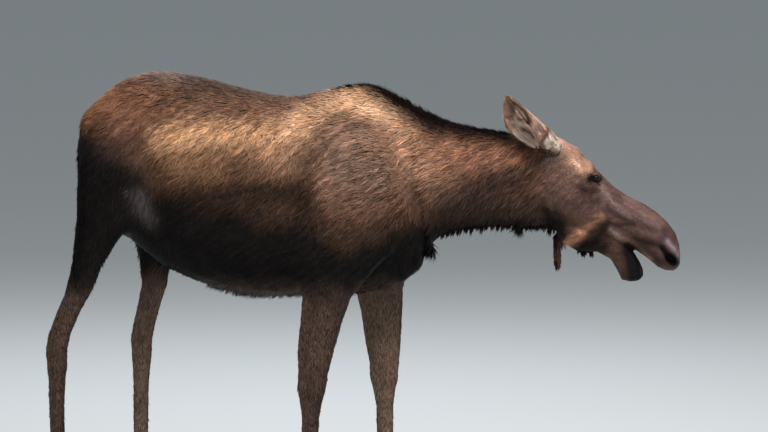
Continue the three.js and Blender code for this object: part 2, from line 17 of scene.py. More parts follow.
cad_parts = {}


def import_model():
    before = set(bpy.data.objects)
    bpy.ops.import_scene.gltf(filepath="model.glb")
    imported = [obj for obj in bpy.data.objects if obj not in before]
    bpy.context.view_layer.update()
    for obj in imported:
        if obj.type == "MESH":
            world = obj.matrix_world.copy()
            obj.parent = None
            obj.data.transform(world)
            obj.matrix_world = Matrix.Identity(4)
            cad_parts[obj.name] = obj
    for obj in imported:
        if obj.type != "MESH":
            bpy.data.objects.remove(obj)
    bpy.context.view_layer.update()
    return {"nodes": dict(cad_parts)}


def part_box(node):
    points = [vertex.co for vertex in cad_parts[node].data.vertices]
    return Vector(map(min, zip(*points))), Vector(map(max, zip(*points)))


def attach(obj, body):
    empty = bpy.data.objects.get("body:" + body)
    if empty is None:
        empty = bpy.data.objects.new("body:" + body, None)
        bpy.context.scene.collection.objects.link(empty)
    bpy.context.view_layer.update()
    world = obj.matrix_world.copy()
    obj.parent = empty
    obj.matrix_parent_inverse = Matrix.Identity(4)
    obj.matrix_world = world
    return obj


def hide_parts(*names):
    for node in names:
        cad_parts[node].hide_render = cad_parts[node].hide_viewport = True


LOG = logging.getLogger("moose")
MM = 0.001
RIGHT, LEFT = -1, 1  # her right side is -Y
BED_SEED, EAR_SEED, LONG_SEED = 100, 130, 140  # each tuft's chance differences start from these
UP = np.array([0.0, 0.0, 1.0])


# ---------------------------------------------------------------- small mathematics


def smooth(low: float, high: float, value: np.ndarray) -> np.ndarray:
    """A soft step from 0 at low to 1 at high.

    Args:
        low: where the step starts.
        high: where it ends; below low for a falling step.
        value: the places to read it at.

    Returns:
        The step's height at each place.
    """
    t = np.clip((value - low) / (high - low), 0, 1)
    return t * t * (3 - 2 * t)


def unit(vectors: np.ndarray) -> np.ndarray:
    """Vectors of length one along the last axis."""
    return vectors / np.maximum(np.linalg.norm(vectors, axis=-1, keepdims=True), 1e-9)


def linear(hex_colour: str) -> np.ndarray:
    """An sRGB hex colour as linear red, green and blue."""
    srgb = np.array([int(hex_colour[i : i + 2], 16) / 255 for i in (1, 3, 5)])
    return np.where(srgb <= 0.04045, srgb / 12.92, ((srgb + 0.055) / 1.055) ** 2.4)


def on_right(points: np.ndarray) -> np.ndarray:
    """The points, with those of her left side at their mirror places on the right."""
    return np.where(points[:, 1:2] > 0, points * [1, -1, 1], points)


def near_line(points: np.ndarray, line: np.ndarray) -> np.ndarray:
    """How far each point is from a line.

    Args:
        points: places, one row each.
        line: the ends of its straight pieces, or a single place.

    Returns:
        One distance a point.
    """
    if len(line) == 1:
        return np.linalg.norm(points - line[0], axis=1)
    best = np.full(len(points), np.inf)
    for a, b in zip(line[:-1], line[1:]):
        span = b - a
        t = np.clip(((points - a) @ span) / (span @ span), 0, 1)
        best = np.minimum(best, np.linalg.norm(points - a - t[:, None] * span, axis=1))
    return best


def waves(points: np.ndarray, size: float, seed: int) -> np.ndarray:
    """Smooth noise between about -1 and 1: a few crossed waves.

    Args:
        points: places, one row each.
        size: the length of a wave in metres.
        seed: picks the waves.

    Returns:
        One value a place.
    """
    rng = np.random.default_rng(seed)
    total = np.zeros(len(points))
    for _ in range(7):
        direction = unit(rng.normal(size=3)) * (2 * math.pi / size) * rng.uniform(0.6, 1.5)
        total += np.sin(points @ direction + rng.uniform(0, 6.28))
    return total / 3.5


def streaks(points: np.ndarray, lie: np.ndarray, size: float, run: float, seed: int) -> np.ndarray:
    """Noise drawn out along the hair.

    Args:
        points: places, one row each.
        lie: the way the hair points at each.
        size: the length of a wave across the hair, in metres.
        run: how far it is drawn out either way along the hair, in metres.
        seed: picks the waves.

    Returns:
        One value a place, between about -1 and 1.
    """
    total = sum(waves(points + lie * run * step, size, seed) for step in np.linspace(-1, 1, 9))
    return total / 4.5


# ---------------------------------------------------------------- head axes


@dataclass(frozen=True)
class HeadAxes:
    """The head's own axes: along runs from the poll to the nose, over stands off the forehead."""

    poll: tuple[float, float, float] = (0.7795, 0.0, 1.521)
    slope: float = math.radians(44.5)

    @property
    def along(self) -> np.ndarray:
        """From the poll to the nose."""
        return np.array([math.cos(self.slope), 0.0, -math.sin(self.slope)])

    @property
    def over(self) -> np.ndarray:
        """Square to along, away from the jaw."""
        return np.array([math.sin(self.slope), 0.0, math.cos(self.slope)])

    def at(self, along: float, over: float, across: float = 0.0) -> np.ndarray:
        """A point in the model's frame, in metres, from millimetres on the head."""
        place = np.array(self.poll) + self.along * along * MM + self.over * over * MM
        return place + np.array([0, across * MM, 0])

    def read(self, points: np.ndarray) -> np.ndarray:
        """The head's along, over and unsigned across of each point, in millimetres."""
        away = points - np.array(self.poll)
        return np.stack([away @ self.along, away @ self.over, np.abs(points[:, 1])], axis=1) / MM


HEAD = HeadAxes()


# ---------------------------------------------------------------- Blender helpers


def rest_selection() -> None:
    """Leaves nothing selected."""
    bpy.ops.object.select_all(action="DESELECT")


def take(piece: bpy.types.Object) -> None:
    """Makes one object the selected and active one.

    Args:
        piece: the object.
    """
    rest_selection()
    piece.select_set(True)
    bpy.context.view_layer.objects.active = piece


def apply(piece: bpy.types.Object, kind: str, **settings: object) -> None:
    """Adds one modifier with its settings and applies it.

    Args:
        piece: the object to change.
        kind: the modifier's type.
        settings: its properties.
    """
    take(piece)
    bpy.ops.object.modifier_add(type=kind)
    modifier = piece.modifiers[-1]
    for name, value in settings.items():
        setattr(modifier, name, value)
    bpy.ops.object.modifier_apply(modifier=modifier.name)


def joined(pieces: list[bpy.types.Object], name: str) -> bpy.types.Object:
    """Joins objects into the first of them, under a new name.

    Args:
        pieces: the objects.
        name: the new name.

    Returns:
        The joined object.
    """
    take(pieces[0])
    for piece in pieces:
        piece.select_set(True)
    if len(pieces) > 1:
        bpy.ops.object.join()
    pieces[0].name = name
    return pieces[0]


def copy_of(nodes: list[bpy.types.Object], name: str) -> bpy.types.Object:
    """A new object with the merged meshes of some nodes, which stay as they are.

    Args:
        nodes: the nodes.
        name: the new object's name.

    Returns:
        The new object.
    """
    copies = []
    for node in nodes:
        copy = bpy.data.objects.new(name, node.data.copy())
        copy.data.materials.clear()
        bpy.context.scene.collection.objects.link(copy)
        copies.append(copy)
    piece = joined(copies, name)
    take(piece)
    bpy.ops.object.mode_set(mode="EDIT")
    bpy.ops.mesh.select_all(action="SELECT")
    bpy.ops.mesh.remove_doubles(threshold=0.00005)
    bpy.ops.object.mode_set(mode="OBJECT")
    return piece


def points_of(mesh: bpy.types.Mesh) -> np.ndarray:
    """A mesh's vertices, one row each."""
    found = np.empty(len(mesh.vertices) * 3, np.float32)
    mesh.vertices.foreach_get("co", found)
    return found.reshape(-1, 3).astype(float)


def normals_of(mesh: bpy.types.Mesh) -> np.ndarray:
    """A mesh's vertex normals, one row each."""
    found = np.empty(len(mesh.vertices) * 3, np.float32)
    mesh.vertex_normals.foreach_get("vector", found)
    return found.reshape(-1, 3).astype(float)


def triangles_of(mesh: bpy.types.Mesh) -> np.ndarray:
    """A mesh's triangles as vertex numbers, one row each."""
    mesh.calc_loop_triangles()
    found = np.empty(len(mesh.loop_triangles) * 3, np.int32)
    mesh.loop_triangles.foreach_get("vertices", found)
    return found.reshape(-1, 3)


def place_points(mesh: bpy.types.Mesh, points: np.ndarray) -> None:
    """Moves a mesh's vertices."""
    mesh.vertices.foreach_set("co", points.astype(np.float32).ravel())
    mesh.update()


def shade_smooth(mesh: bpy.types.Mesh) -> None:
    """Shades every face as part of one curve."""
    for polygon in mesh.polygons:
        polygon.use_smooth = True


def fused(piece: bpy.types.Object, voxel: float) -> None:
    """Remakes a piece as one closed mesh of even squares."""
    apply(piece, "REMESH", mode="VOXEL", voxel_size=voxel, adaptivity=0.0)


def thinned(piece: bpy.types.Object, share: float, **group: object) -> None:
    """Keeps a share of a piece's triangles, and most where the group asks for it."""
    apply(piece, "DECIMATE", decimate_type="COLLAPSE", ratio=share, use_collapse_triangulate=True, **group)


def relaxed(
    mesh: bpy.types.Mesh, rounds: int, strength: np.ndarray | float = 1.0, back: float = -0.58
) -> None:
    """Smooths a mesh without shrinking it, by turns of pulling in and pushing out.

    Args:
        mesh: the mesh to change.
        rounds: the number of turns.
        strength: how much of the smoothing each vertex takes.
        back: the push out of each turn; 0 leaves it out, which smooths wider forms and shrinks them a little.
    """
    edges = np.empty(len(mesh.edges) * 2, np.int32)
    mesh.edges.foreach_get("vertices", edges)
    a, b = edges.reshape(-1, 2).T
    points = points_of(mesh)
    count = np.maximum(np.bincount(a, minlength=len(points)) + np.bincount(b, minlength=len(points)), 1)
    share = np.broadcast_to(np.asarray(strength, float), (len(points),))
    for turn in range(rounds * 2):
        if turn % 2 and not back:
            continue
        mean = np.empty_like(points)
        for k in range(3):
            line = points[:, k]
            total = np.bincount(a, line[b], len(points)) + np.bincount(b, line[a], len(points))
            mean[:, k] = total / count
        pull = 0.55 if turn % 2 == 0 else back
        points += (mean - points) * (pull * share)[:, None]
    place_points(mesh, points)


# ---------------------------------------------------------------- materials


def add_node(
    tree: bpy.types.NodeTree, kind: str, links: dict[str, object] | None = None, **settings: object
) -> bpy.types.Node:
    """Adds one node.

    Args:
        tree: the node tree.
        kind: the node's type, such as ShaderNodeTexNoise.
        links: what goes into each input, by name or number: an output socket, or a value.
        settings: the node's own properties.

    Returns:
        The node.
    """
    node = tree.nodes.new(kind)
    for name, value in settings.items():
        setattr(node, name, value)
    for name, value in (links or {}).items():
        socket = node.inputs[name]
        if isinstance(value, bpy.types.NodeSocket):
            tree.links.new(value, socket)
        else:
            socket.default_value = value
    return node


def blank(name: str) -> tuple[bpy.types.Material, bpy.types.NodeTree]:
    """A new material, and its node tree with nothing in it."""
    material = bpy.data.materials.new(name)
    material.use_nodes = True
    material.node_tree.nodes.clear()
    return material, material.node_tree


class Attribute(Enum):
    """The names of the values that skin, coat and eyes carry."""

    COLOUR = "coat_colour"
    WET = "coat_wet"
    EYE_PLACE = "eye_place"


@dataclass(frozen=True)
class HairFinish:
    """Hollow guard hair over dark skin: matte where dry, slick and glinting where wet."""

    name: str
    dry_roughness: float = 0.62
    wet_roughness: float = 0.3
    strand_mm: float = 3.0  # real hair is 0.2 mm, drawn coarse enough to show as clumps
    mottle_mm: float = 60.0
    bump_mm: float = 0.0
    specular: float = 0.07

    def make(self) -> bpy.types.Material:
        """Builds the material."""
        material, tree = blank(self.name)
        colour = add_node(tree, "ShaderNodeAttribute", attribute_name=Attribute.COLOUR.value)
        wet = add_node(tree, "ShaderNodeAttribute", attribute_name=Attribute.WET.value)
        place = add_node(tree, "ShaderNodeTexCoord")
        strand = add_node(
            tree,
            "ShaderNodeTexNoise",
            {"Vector": place.outputs["Object"], "Scale": 1 / (self.strand_mm * MM), "Detail": 2.0},
        )
        mottle = add_node(
            tree,
            "ShaderNodeTexNoise",
            {"Vector": place.outputs["Object"], "Scale": 1 / (self.mottle_mm * MM), "Detail": 3.0},
        )
        both = add_node(
            tree, "ShaderNodeMath", {0: strand.outputs["Fac"], 1: mottle.outputs["Fac"]}, operation="ADD"
        )
        shade = add_node(
            tree,
            "ShaderNodeMapRange",
            {"Value": both.outputs[0], "From Min": 0.6, "From Max": 1.4, "To Min": 0.72, "To Max": 1.28},
        )
        tinted = add_node(
            tree,
            "ShaderNodeVectorMath",
            {0: colour.outputs["Color"], "Scale": shade.outputs["Result"]},
            operation="SCALE",
        )
        rough = add_node(
            tree,
            "ShaderNodeMapRange",
            {
                "Value": wet.outputs["Fac"],
                "To Min": self.dry_roughness,
                "To Max": self.wet_roughness,
            },
        )
        shader = add_node(
            tree,
            "ShaderNodeBsdfPrincipled",
            {
                "Base Color": tinted.outputs[0],
                "Roughness": rough.outputs["Result"],
                "IOR": 1.45,
                "Specular IOR Level": self.specular,
            },
        )
        if self.bump_mm:
            bump = add_node(
                tree,
                "ShaderNodeBump",
                {"Height": strand.outputs["Fac"], "Distance": self.bump_mm * MM, "Strength": 0.8},
            )
            tree.links.new(bump.outputs["Normal"], shader.inputs["Normal"])
        add_node(tree, "ShaderNodeOutputMaterial", {"Surface": shader.outputs["BSDF"]})
        return material


@dataclass(frozen=True)
class HornFinish:
    """Hoof horn: dark keratin with fine growth rings and a satin surface, scuffed in blotches."""

    name: str = "hoof_horn_keratin"
    dark: str = "#1d1917"
    light: str = "#4a4038"
    ring_mm: float = 5.0

    def make(self) -> bpy.types.Material:
        """Builds the material."""
        material, tree = blank(self.name)
        place = add_node(tree, "ShaderNodeTexCoord")
        rings = add_node(
            tree,
            "ShaderNodeTexWave",
            {
                "Vector": place.outputs["Object"],
                "Scale": 1 / (self.ring_mm * MM * 6.28),
                "Distortion": 3.0,
                "Detail": 2.0,
            },
            bands_direction="Z",
        )
        blotch = add_node(
            tree, "ShaderNodeTexNoise", {"Vector": place.outputs["Object"], "Scale": 45.0, "Detail": 5.0}
        )
        mixed = add_node(
            tree, "ShaderNodeMath", {0: rings.outputs["Fac"], 1: blotch.outputs["Fac"]}, operation="MULTIPLY"
        )
        ramp = add_node(tree, "ShaderNodeValToRGB", {"Fac": mixed.outputs[0]})
        ramp.color_ramp.elements[0].color = (*linear(self.dark), 1)
        ramp.color_ramp.elements[1].color = (*linear(self.light), 1)
        rough = add_node(
            tree, "ShaderNodeMapRange", {"Value": blotch.outputs["Fac"], "To Min": 0.35, "To Max": 0.6}
        )
        bump = add_node(tree, "ShaderNodeBump", {"Height": rings.outputs["Fac"], "Distance": 0.0006})
        shader = add_node(
            tree,
            "ShaderNodeBsdfPrincipled",
            {
                "Base Color": ramp.outputs["Color"],
                "Roughness": rough.outputs["Result"],
                "IOR": 1.54,
                "Normal": bump.outputs["Normal"],
            },
        )
        add_node(tree, "ShaderNodeOutputMaterial", {"Surface": shader.outputs["BSDF"]})
        return material


# ---------------------------------------------------------------- forms of the flesh


@dataclass(frozen=True)
class Form:
    """A rise or hollow of the flesh along a line: muscle, bone, tendon or fold.

    line holds points of the right side or the middle, and both sides get it. lift is its height.
    """

    line: tuple[tuple[float, float, float], ...]
    width: float
    lift: float


BODY_FORMS = (
    Form(((0.03, -0.17, 1.6), (0.02, -0.235, 1.3)), 0.045, 0.008),  # spine of the shoulder blade
    # behind the shoulder
    Form(((-0.06, -0.17, 1.6), (-0.15, -0.24, 1.38), (-0.165, -0.25, 1.12)), 0.05, -0.014),
    Form(((-0.06, -0.24, 1.2), (-0.08, -0.24, 1.06)), 0.075, 0.014),  # triceps
    Form(((0.165, -0.2, 1.24),), 0.06, 0.014),  # point of the shoulder
    Form(((0.16, -0.13, 1.5), (0.21, -0.15, 1.3)), 0.035, -0.01),  # between neck and shoulder
    Form(((-0.79, -0.16, 1.7),), 0.055, 0.012),  # hip bone
    Form(((-0.66, -0.2, 1.56),), 0.09, -0.012),  # hollow of the loin
    Form(((-0.46, -0.27, 1.5), (-0.5, -0.3, 1.25)), 0.02, 0.004),  # ribs
    Form(((-0.38, -0.27, 1.5), (-0.42, -0.3, 1.2)), 0.02, 0.004),
    Form(((-0.3, -0.26, 1.5), (-0.34, -0.3, 1.2)), 0.02, 0.004),
    Form(((-0.98, -0.25, 1.4), (-0.95, -0.25, 1.3)), 0.1, 0.012),  # thigh
    # before the thigh
    Form(((-0.83, -0.22, 1.42), (-0.81, -0.24, 1.22), (-0.83, -0.2, 1.08)), 0.035, -0.014),
    Form(((-0.7, -0.26, 1.16), (-0.86, -0.19, 1.13)), 0.03, 0.012),  # fold of the flank
    Form(((-1.09, -0.09, 1.6),), 0.045, 0.012),  # pin bone
    Form(((-1.08, -0.13, 1.46), (-1.07, -0.15, 1.22)), 0.022, -0.008),  # seam of the buttock
    Form(((0.3, -0.12, 1.24), (0.6, -0.1, 1.25)), 0.03, -0.007),  # groove of the throat
    Form(((0.25, -0.15, 1.38), (0.6, -0.105, 1.36)), 0.05, 0.006),  # long muscle of the neck
)


def head_line(*stations: tuple[float, float, float]) -> tuple[tuple[float, float, float], ...]:
    """Points on her right cheek from along, over and across in millimetres."""
    return tuple(tuple(HEAD.at(a, o, -w)) for a, o, w in stations)


HEAD_FORMS = (
    Form(
        head_line((250, -10, 86), (299, -27, 86), (343, -33, 80), (399, -32, 72), (460, -26, 64)),
        0.011,
        0.008,
    ),
    # under the crest
    Form(head_line((300, -76, 92), (343, -74, 86), (392, -60, 78), (457, -30, 66)), 0.015, -0.008),
    Form(head_line((457, -26, 66), (504, -10, 66), (540, 4, 68)), 0.012, -0.004),
    # lip muscle
    Form(head_line((421, -78, 74), (462, -62, 72), (504, -42, 72), (551, -20, 76)), 0.012, 0.006),
    Form(head_line((500, -76, 72), (547, -56, 76), (581, -32, 80)), 0.010, -0.006),  # over the upper lip
    Form(head_line((180, -150, 100), (210, -200, 95)), 0.055, 0.009),  # cheek muscle
    Form(head_line((110, -60, 100), (150, -100, 104)), 0.03, -0.006),  # temple
    Form(head_line((150, -20, 90), (120, -16, 80)), 0.02, 0.004),  # bone arch over the eye
    Form(head_line((345, -140, 86), (400, -150, 70)), 0.022, -0.009),  # hollow of the cheek
    Form(head_line((330, -110, 92), (326, -160, 90), (326, -210, 76)), 0.014, 0.006),  # edge of the cheek
    Form(
        head_line((407, -107, 74), (448, -104, 70), (494, -98, 70), (541, -94, 74), (600, -86, 80)),
        0.012,
        0.006,
    ),
    Form(head_line((448, -122, 66), (494, -116, 64)), 0.009, -0.006),  # fold at the mouth's corner
    Form(head_line((250, -40, 92), (300, -90, 96)), 0.012, -0.004),  # tear groove
    # wing of the nostril
    Form(head_line((569, 8, 72), (609, 10, 76), (656, 6, 72), (684, -6, 60)), 0.010, 0.006),
    Form(head_line((600, -48, 84), (640, -56, 84), (680, -54, 66)), 0.012, 0.005),  # lower wing
    Form(head_line((575, 38, 50)), 0.016, -0.006),  # hollow behind the wing
    Form(head_line((600, -24, 82), (642, -31, 80)), 0.007, -0.009),  # the nostril's tail
    Form(head_line((652, -33, 76), (676, -33, 66)), 0.0135, -0.02),  # nostril
    Form(head_line((600, -160, 42), (622, -172, 34)), 0.016, 0.004),  # lower lip
    Form(head_line((520, -150, 44), (530, -200, 42)), 0.012, -0.004),  # behind the chin
    Form(head_line((126, 16, 30)), 0.012, -0.004),  # notch before the brow
)


def shaped(points: np.ndarray, normals: np.ndarray, forms: tuple[Form, ...]) -> np.ndarray:
    """Moves points along their normals by every form near them, on both sides alike.

    Args:
        points: places on the skin.
        normals: the way the skin faces there.
        forms: the rises and hollows.

    Returns:
        The moved places.
    """
    right = on_right(points)
    lift = np.zeros(len(points))
    for form in forms:
        away = near_line(right, np.array(form.line))
        lift += form.lift * np.exp(-0.5 * (away / form.width) ** 2)
    return points + normals * lift[:, None]


# ---------------------------------------------------------------- skin

LEGS = ("foreleg_right", "foreleg_left", "hindleg_right", "hindleg_left")


@dataclass
class Eyelid:
    """The almond opening of one eye, in the skin."""

    side: int
    centre: np.ndarray
    ball: float
    half_length: float = 0.019
    above: float = 0.0132
    below: float = 0.0112
    rim: float = 0.0028
    reach: float = 0.05  # from the ball's middle to the last skin that the lids shape

    def axes(self) -> tuple[np.ndarray, np.ndarray, np.ndarray]:
        """The eye's forward, upward and outward directions."""
        outward = unit(np.array([0.3, self.side * 0.92, 0.22]))
        forward = np.array([0.97, 0.0, -0.24])
        forward = unit(forward - outward * (forward @ outward))
        upward = np.cross(outward, forward)
        return forward, upward * np.sign(upward[2]), outward

    def opening(self, points: np.ndarray) -> tuple[np.ndarray, np.ndarray, np.ndarray]:
        """How far inside the opening each point is, and where it is round the eye.

        Args:
            points: places near the eye.

        Returns:
            The measure of the opening (1 at its middle, 0 on the rim), the size of the lid's oval there
            (1 at its edge), and the outward distance.
        """
        forward, upward, outward = self.axes()
        away = points - self.centre
        u, v, w = away @ forward, away @ upward, away @ outward
        half = np.where(v > 0, self.above, self.below)
        pinch = np.sqrt(np.clip(1 - (u / self.half_length) ** 2, 0, 1)) * 0.8 + 0.2
        inside = 1 - (np.abs(u) / self.half_length) ** 2.4 - np.abs(v / (half * pinch)) ** 2
        oval = np.sqrt((u / self.half_length) ** 2 + (v / (half * 1.25)) ** 2)
        return inside, oval, w

    def shape(self, points: np.ndarray) -> np.ndarray:
        """Draws the skin into lids round the ball, and sinks it behind the ball inside the opening.

        Args:
            points: places on the skin.

        Returns:
            The moved places.
        """
        away = points - self.centre
        reach = np.linalg.norm(away, axis=1)
        inside, oval, outward = self.opening(points)
        near = (reach < self.reach) & (outward > -0.004)
        lid = self.ball + self.rim
        hold = smooth(2.1, 1.2, oval)
        groove = np.exp(-(((oval - 1.62) / 0.16) ** 2))
        roll = np.exp(-(((oval - 1.28) / 0.14) ** 2))
        fold = -0.0022 * groove + 0.0014 * roll
        target = lid + (reach - lid) * (1 - hold) + fold
        sunk = self.ball - 0.005 * smooth(0.0, 0.35, inside) + self.rim * (1 - smooth(0, 0.2, inside))
        target = np.where(inside > 0, sunk, target)
        moved = self.centre + away * (target / np.maximum(reach, 1e-6))[:, None]
        return np.where(near[:, None], moved, points)


@dataclass
class Skin:
    """One closed skin over all the flesh, a coat's depth inside the solids."""

    nodes: dict[str, bpy.types.Object]
    body_voxel: float = 0.009
    head_voxel: float = 0.004
    ear_voxel: float = 0.0026
    voxel: float = 0.0042
    triangles: int = 130000
    body_swell: float = 0.006
    head_swell: float = 0.002
    ear_swell: float = 0.0012
    ear_depth: float = 0.0012
    ear_share: float = 0.45  # how many of the ears' triangles are kept
    trunk_shrink: float = 0.004  # what the smoothing takes off the trunk
    head_shrink: float = 0.0008
    neck_sink: float = 0.02  # how far the head's piece of the neck lies inside the body's
    throat_coat: float = 0.024  # what the hanging hair adds to the coat
    body_coat: float = 0.009
    leg_coat: float = 0.005
    face_coat: float = 0.0022
    ear_root: tuple[float, float, float] = (8, -48, 76)  # along, over and across in millimetres
    ear_blend: float = 0.085
    withers: tuple[float, float, float] = (0.205, 0.0, 1.64)
    withers_blend: float = 0.16
    lid_reaches: tuple[float, float] = (0.042, 0.032)  # the skin is made twice as fine so near each eye
    lids: list[Eyelid] = field(default_factory=list)
    ear_points: np.ndarray | None = None
    ear_triangles: np.ndarray | None = None

    def flesh(self, names: list[str], voxel: float, name: str, swell: float) -> bpy.types.Object:
        """Fuses nodes into one closed mesh of even squares, after swelling them into each other.

        Args:
            names: the nodes.
            voxel: the side of the squares.
            name: the new piece's name.
            swell: how far each face is pushed out first.

        Returns:
            The piece.
        """
        piece = copy_of([self.nodes[n] for n in names], name)
        apply(piece, "DISPLACE", strength=swell, mid_level=0.0)
        fused(piece, voxel)
        return piece

    def coat_depth(self, points: np.ndarray) -> np.ndarray:
        """How far the skin lies inside the solids at each point.

        Args:
            points: places, one row each.

        Returns:
            One depth a point, in metres.
        """
        on_head = HEAD.read(points)
        face = smooth(-40, 120, on_head[:, 0]) * smooth(0.70, 0.76, points[:, 0])
        leg = smooth(1.1, 0.85, points[:, 2])
        depth = self.body_coat + (self.leg_coat - self.body_coat) * leg
        return depth + (self.face_coat - depth) * face

    def throat(self, points: np.ndarray, normals: np.ndarray) -> np.ndarray:
        """How much each point is of the underside of the neck, where the hair hangs longest.

        Args:
            points: places, one row each.
            normals: the way the surface faces there.

        Returns:
            A share from 0 to 1 for each.
        """
        x, z = points[:, 0], points[:, 2]
        along = smooth(0.2, 0.34, x) * smooth(0.79, 0.75, x)
        return along * smooth(0.1, 0.8, -normals[:, 2]) * smooth(1.3, 1.22, z)

    def body(self) -> bpy.types.Object:
        """Trunk, neck, legs and tail, with their muscles."""
        names = ["trunk", "neck", "tail"] + [leg + part for leg in LEGS for part in ("_upper", "_lower")]
        piece = self.flesh(names, self.body_voxel, "skin_body", self.body_swell)
        relaxed(piece.data, 8)
        points = points_of(piece.data)
        trunk = smooth(0.98, 1.22, points[:, 2]) * smooth(0.6, 0.45, points[:, 0])
        relaxed(piece.data, 60, trunk, 0.0)
        points, normals = points_of(piece.data), normals_of(piece.data)
        points = shaped(points, normals, BODY_FORMS)
        depth = self.coat_depth(points) + self.body_swell - self.trunk_shrink * trunk
        depth += self.throat_coat * self.throat(points, normals)
        place_points(piece.data, points - normals * depth[:, None])
        relaxed(piece.data, 2)
        return piece

    def head(self) -> bpy.types.Object:
        """Head, jaw and bell, with the neck that they run into."""
        names = ["head", "neck", "lower_jaw", "dewlap", "eye_right", "eye_left"]
        piece = self.flesh(names, self.head_voxel, "skin_head", self.head_swell)
        relaxed(piece.data, 14)
        points, normals = points_of(piece.data), normals_of(piece.data)
        depth = self.coat_depth(points) + self.head_swell - self.head_shrink
        depth += self.neck_sink * smooth(0.62, 0.4, points[:, 0])
        depth += self.throat_coat * self.throat(points, normals)
        place_points(piece.data, points - normals * depth[:, None])
        return piece

    def ears(self) -> bpy.types.Object:
        """Both ears, their walls thinned to skin."""
        piece = self.flesh(["ear_right", "ear_left"], self.ear_voxel, "skin_ears", self.ear_swell)
        relaxed(piece.data, 8)
        points, normals = points_of(piece.data), normals_of(piece.data)
        place_points(piece.data, points - normals * self.ear_depth)
        thinned(piece, self.ear_share)
        return piece

    def build(self) -> bpy.types.Object:
        """Fuses all of it, thins the mesh where it is plain, and shapes the face."""
        skin = joined([self.body(), self.head()], "skin")
        fused(skin, self.voxel)
        relaxed(skin.data, 3)
        points = points_of(skin.data)
        fine = smooth(0.66, 0.76, points[:, 0]) * smooth(0.9, 1.0, points[:, 2])
        group = skin.vertex_groups.new(name="plain")
        for k, low in enumerate((0.0, 0.34, 0.67)):
            rows = np.nonzero((fine >= low) & (fine < low + 0.34 + (k == 2)))[0]
            group.add(rows.tolist(), 1.0 - k * 0.42, "REPLACE")
        share = self.triangles / (len(skin.data.polygons) * 2)
        thinned(skin, min(share, 1.0), vertex_group="plain", vertex_group_factor=1.0)
        skin.vertex_groups.clear()
        self.face(skin)
        ears = self.ears()
        self.ear_points, self.ear_triangles = points_of(ears.data), triangles_of(ears.data)
        apply(skin, "BOOLEAN", operation="UNION", solver="EXACT", object=ears)
        bpy.data.objects.remove(ears)
        apply(skin, "TRIANGULATE")
        points = points_of(skin.data)
        roots = [HEAD.at(*self.ear_root[:2], side * self.ear_root[2]) for side in (RIGHT, LEFT)]
        blends = [(root, self.ear_blend, 16) for root in roots]
        blends.append((np.array(self.withers), self.withers_blend, 60))
        for place, reach, rounds in blends:
            away = np.linalg.norm(points - place, axis=1)
            relaxed(skin.data, rounds, smooth(reach, reach * 0.5, away), 0.0)
        shade_smooth(skin.data)
        return skin

    def refine(self, skin: bpy.types.Object, centre: np.ndarray, reach: float) -> None:
        """Halves the triangles near a place.

        Args:
            skin: the skin.
            centre: the place.
            reach: how far round it the triangles are halved.
        """
        mesh = bmesh.new()
        mesh.from_mesh(skin.data)
        middle = Vector(centre)
        edges = [e for e in mesh.edges if (e.verts[0].co - middle).length < reach]
        bmesh.ops.subdivide_edges(mesh, edges=edges, cuts=1, use_grid_fill=True)
        bmesh.ops.triangulate(mesh, faces=[f for f in mesh.faces if len(f.verts) > 3])
        mesh.to_mesh(skin.data)
        mesh.free()

    def face(self, skin: bpy.types.Object) -> None:
        """Adds the forms of the face and opens the lids.

        Args:
            skin: the skin.
        """
        points, normals = points_of(skin.data), normals_of(skin.data)
        place_points(skin.data, shaped(points, normals, HEAD_FORMS))
        for lid in self.lids:
            for reach in self.lid_reaches:
                self.refine(skin, lid.centre, reach)
            place_points(skin.data, lid.shape(points_of(skin.data)))


# ---------------------------------------------------------------- markings


@dataclass(frozen=True)
class Stroke:
    """One soft stroke of colour along a line of her right side; her left side gets it too."""

    colour: str
    line: tuple[tuple[float, float, float], ...]
    reach: float
    strength: float = 1.0
    across: float = 0.12  # how much the distance towards the midline counts

    def cover(self, right: np.ndarray) -> np.ndarray:
        """How much of the stroke lies on each point, from 0 to 1.

        Args:
            right: places on her right side.

        Returns:
            A share for each.
        """
        flat = np.array([1.0, self.across, 1.0])
        away = near_line(right * flat, np.array(self.line) * flat)
        return self.strength * np.exp(-0.5 * (away / self.reach) ** 2)


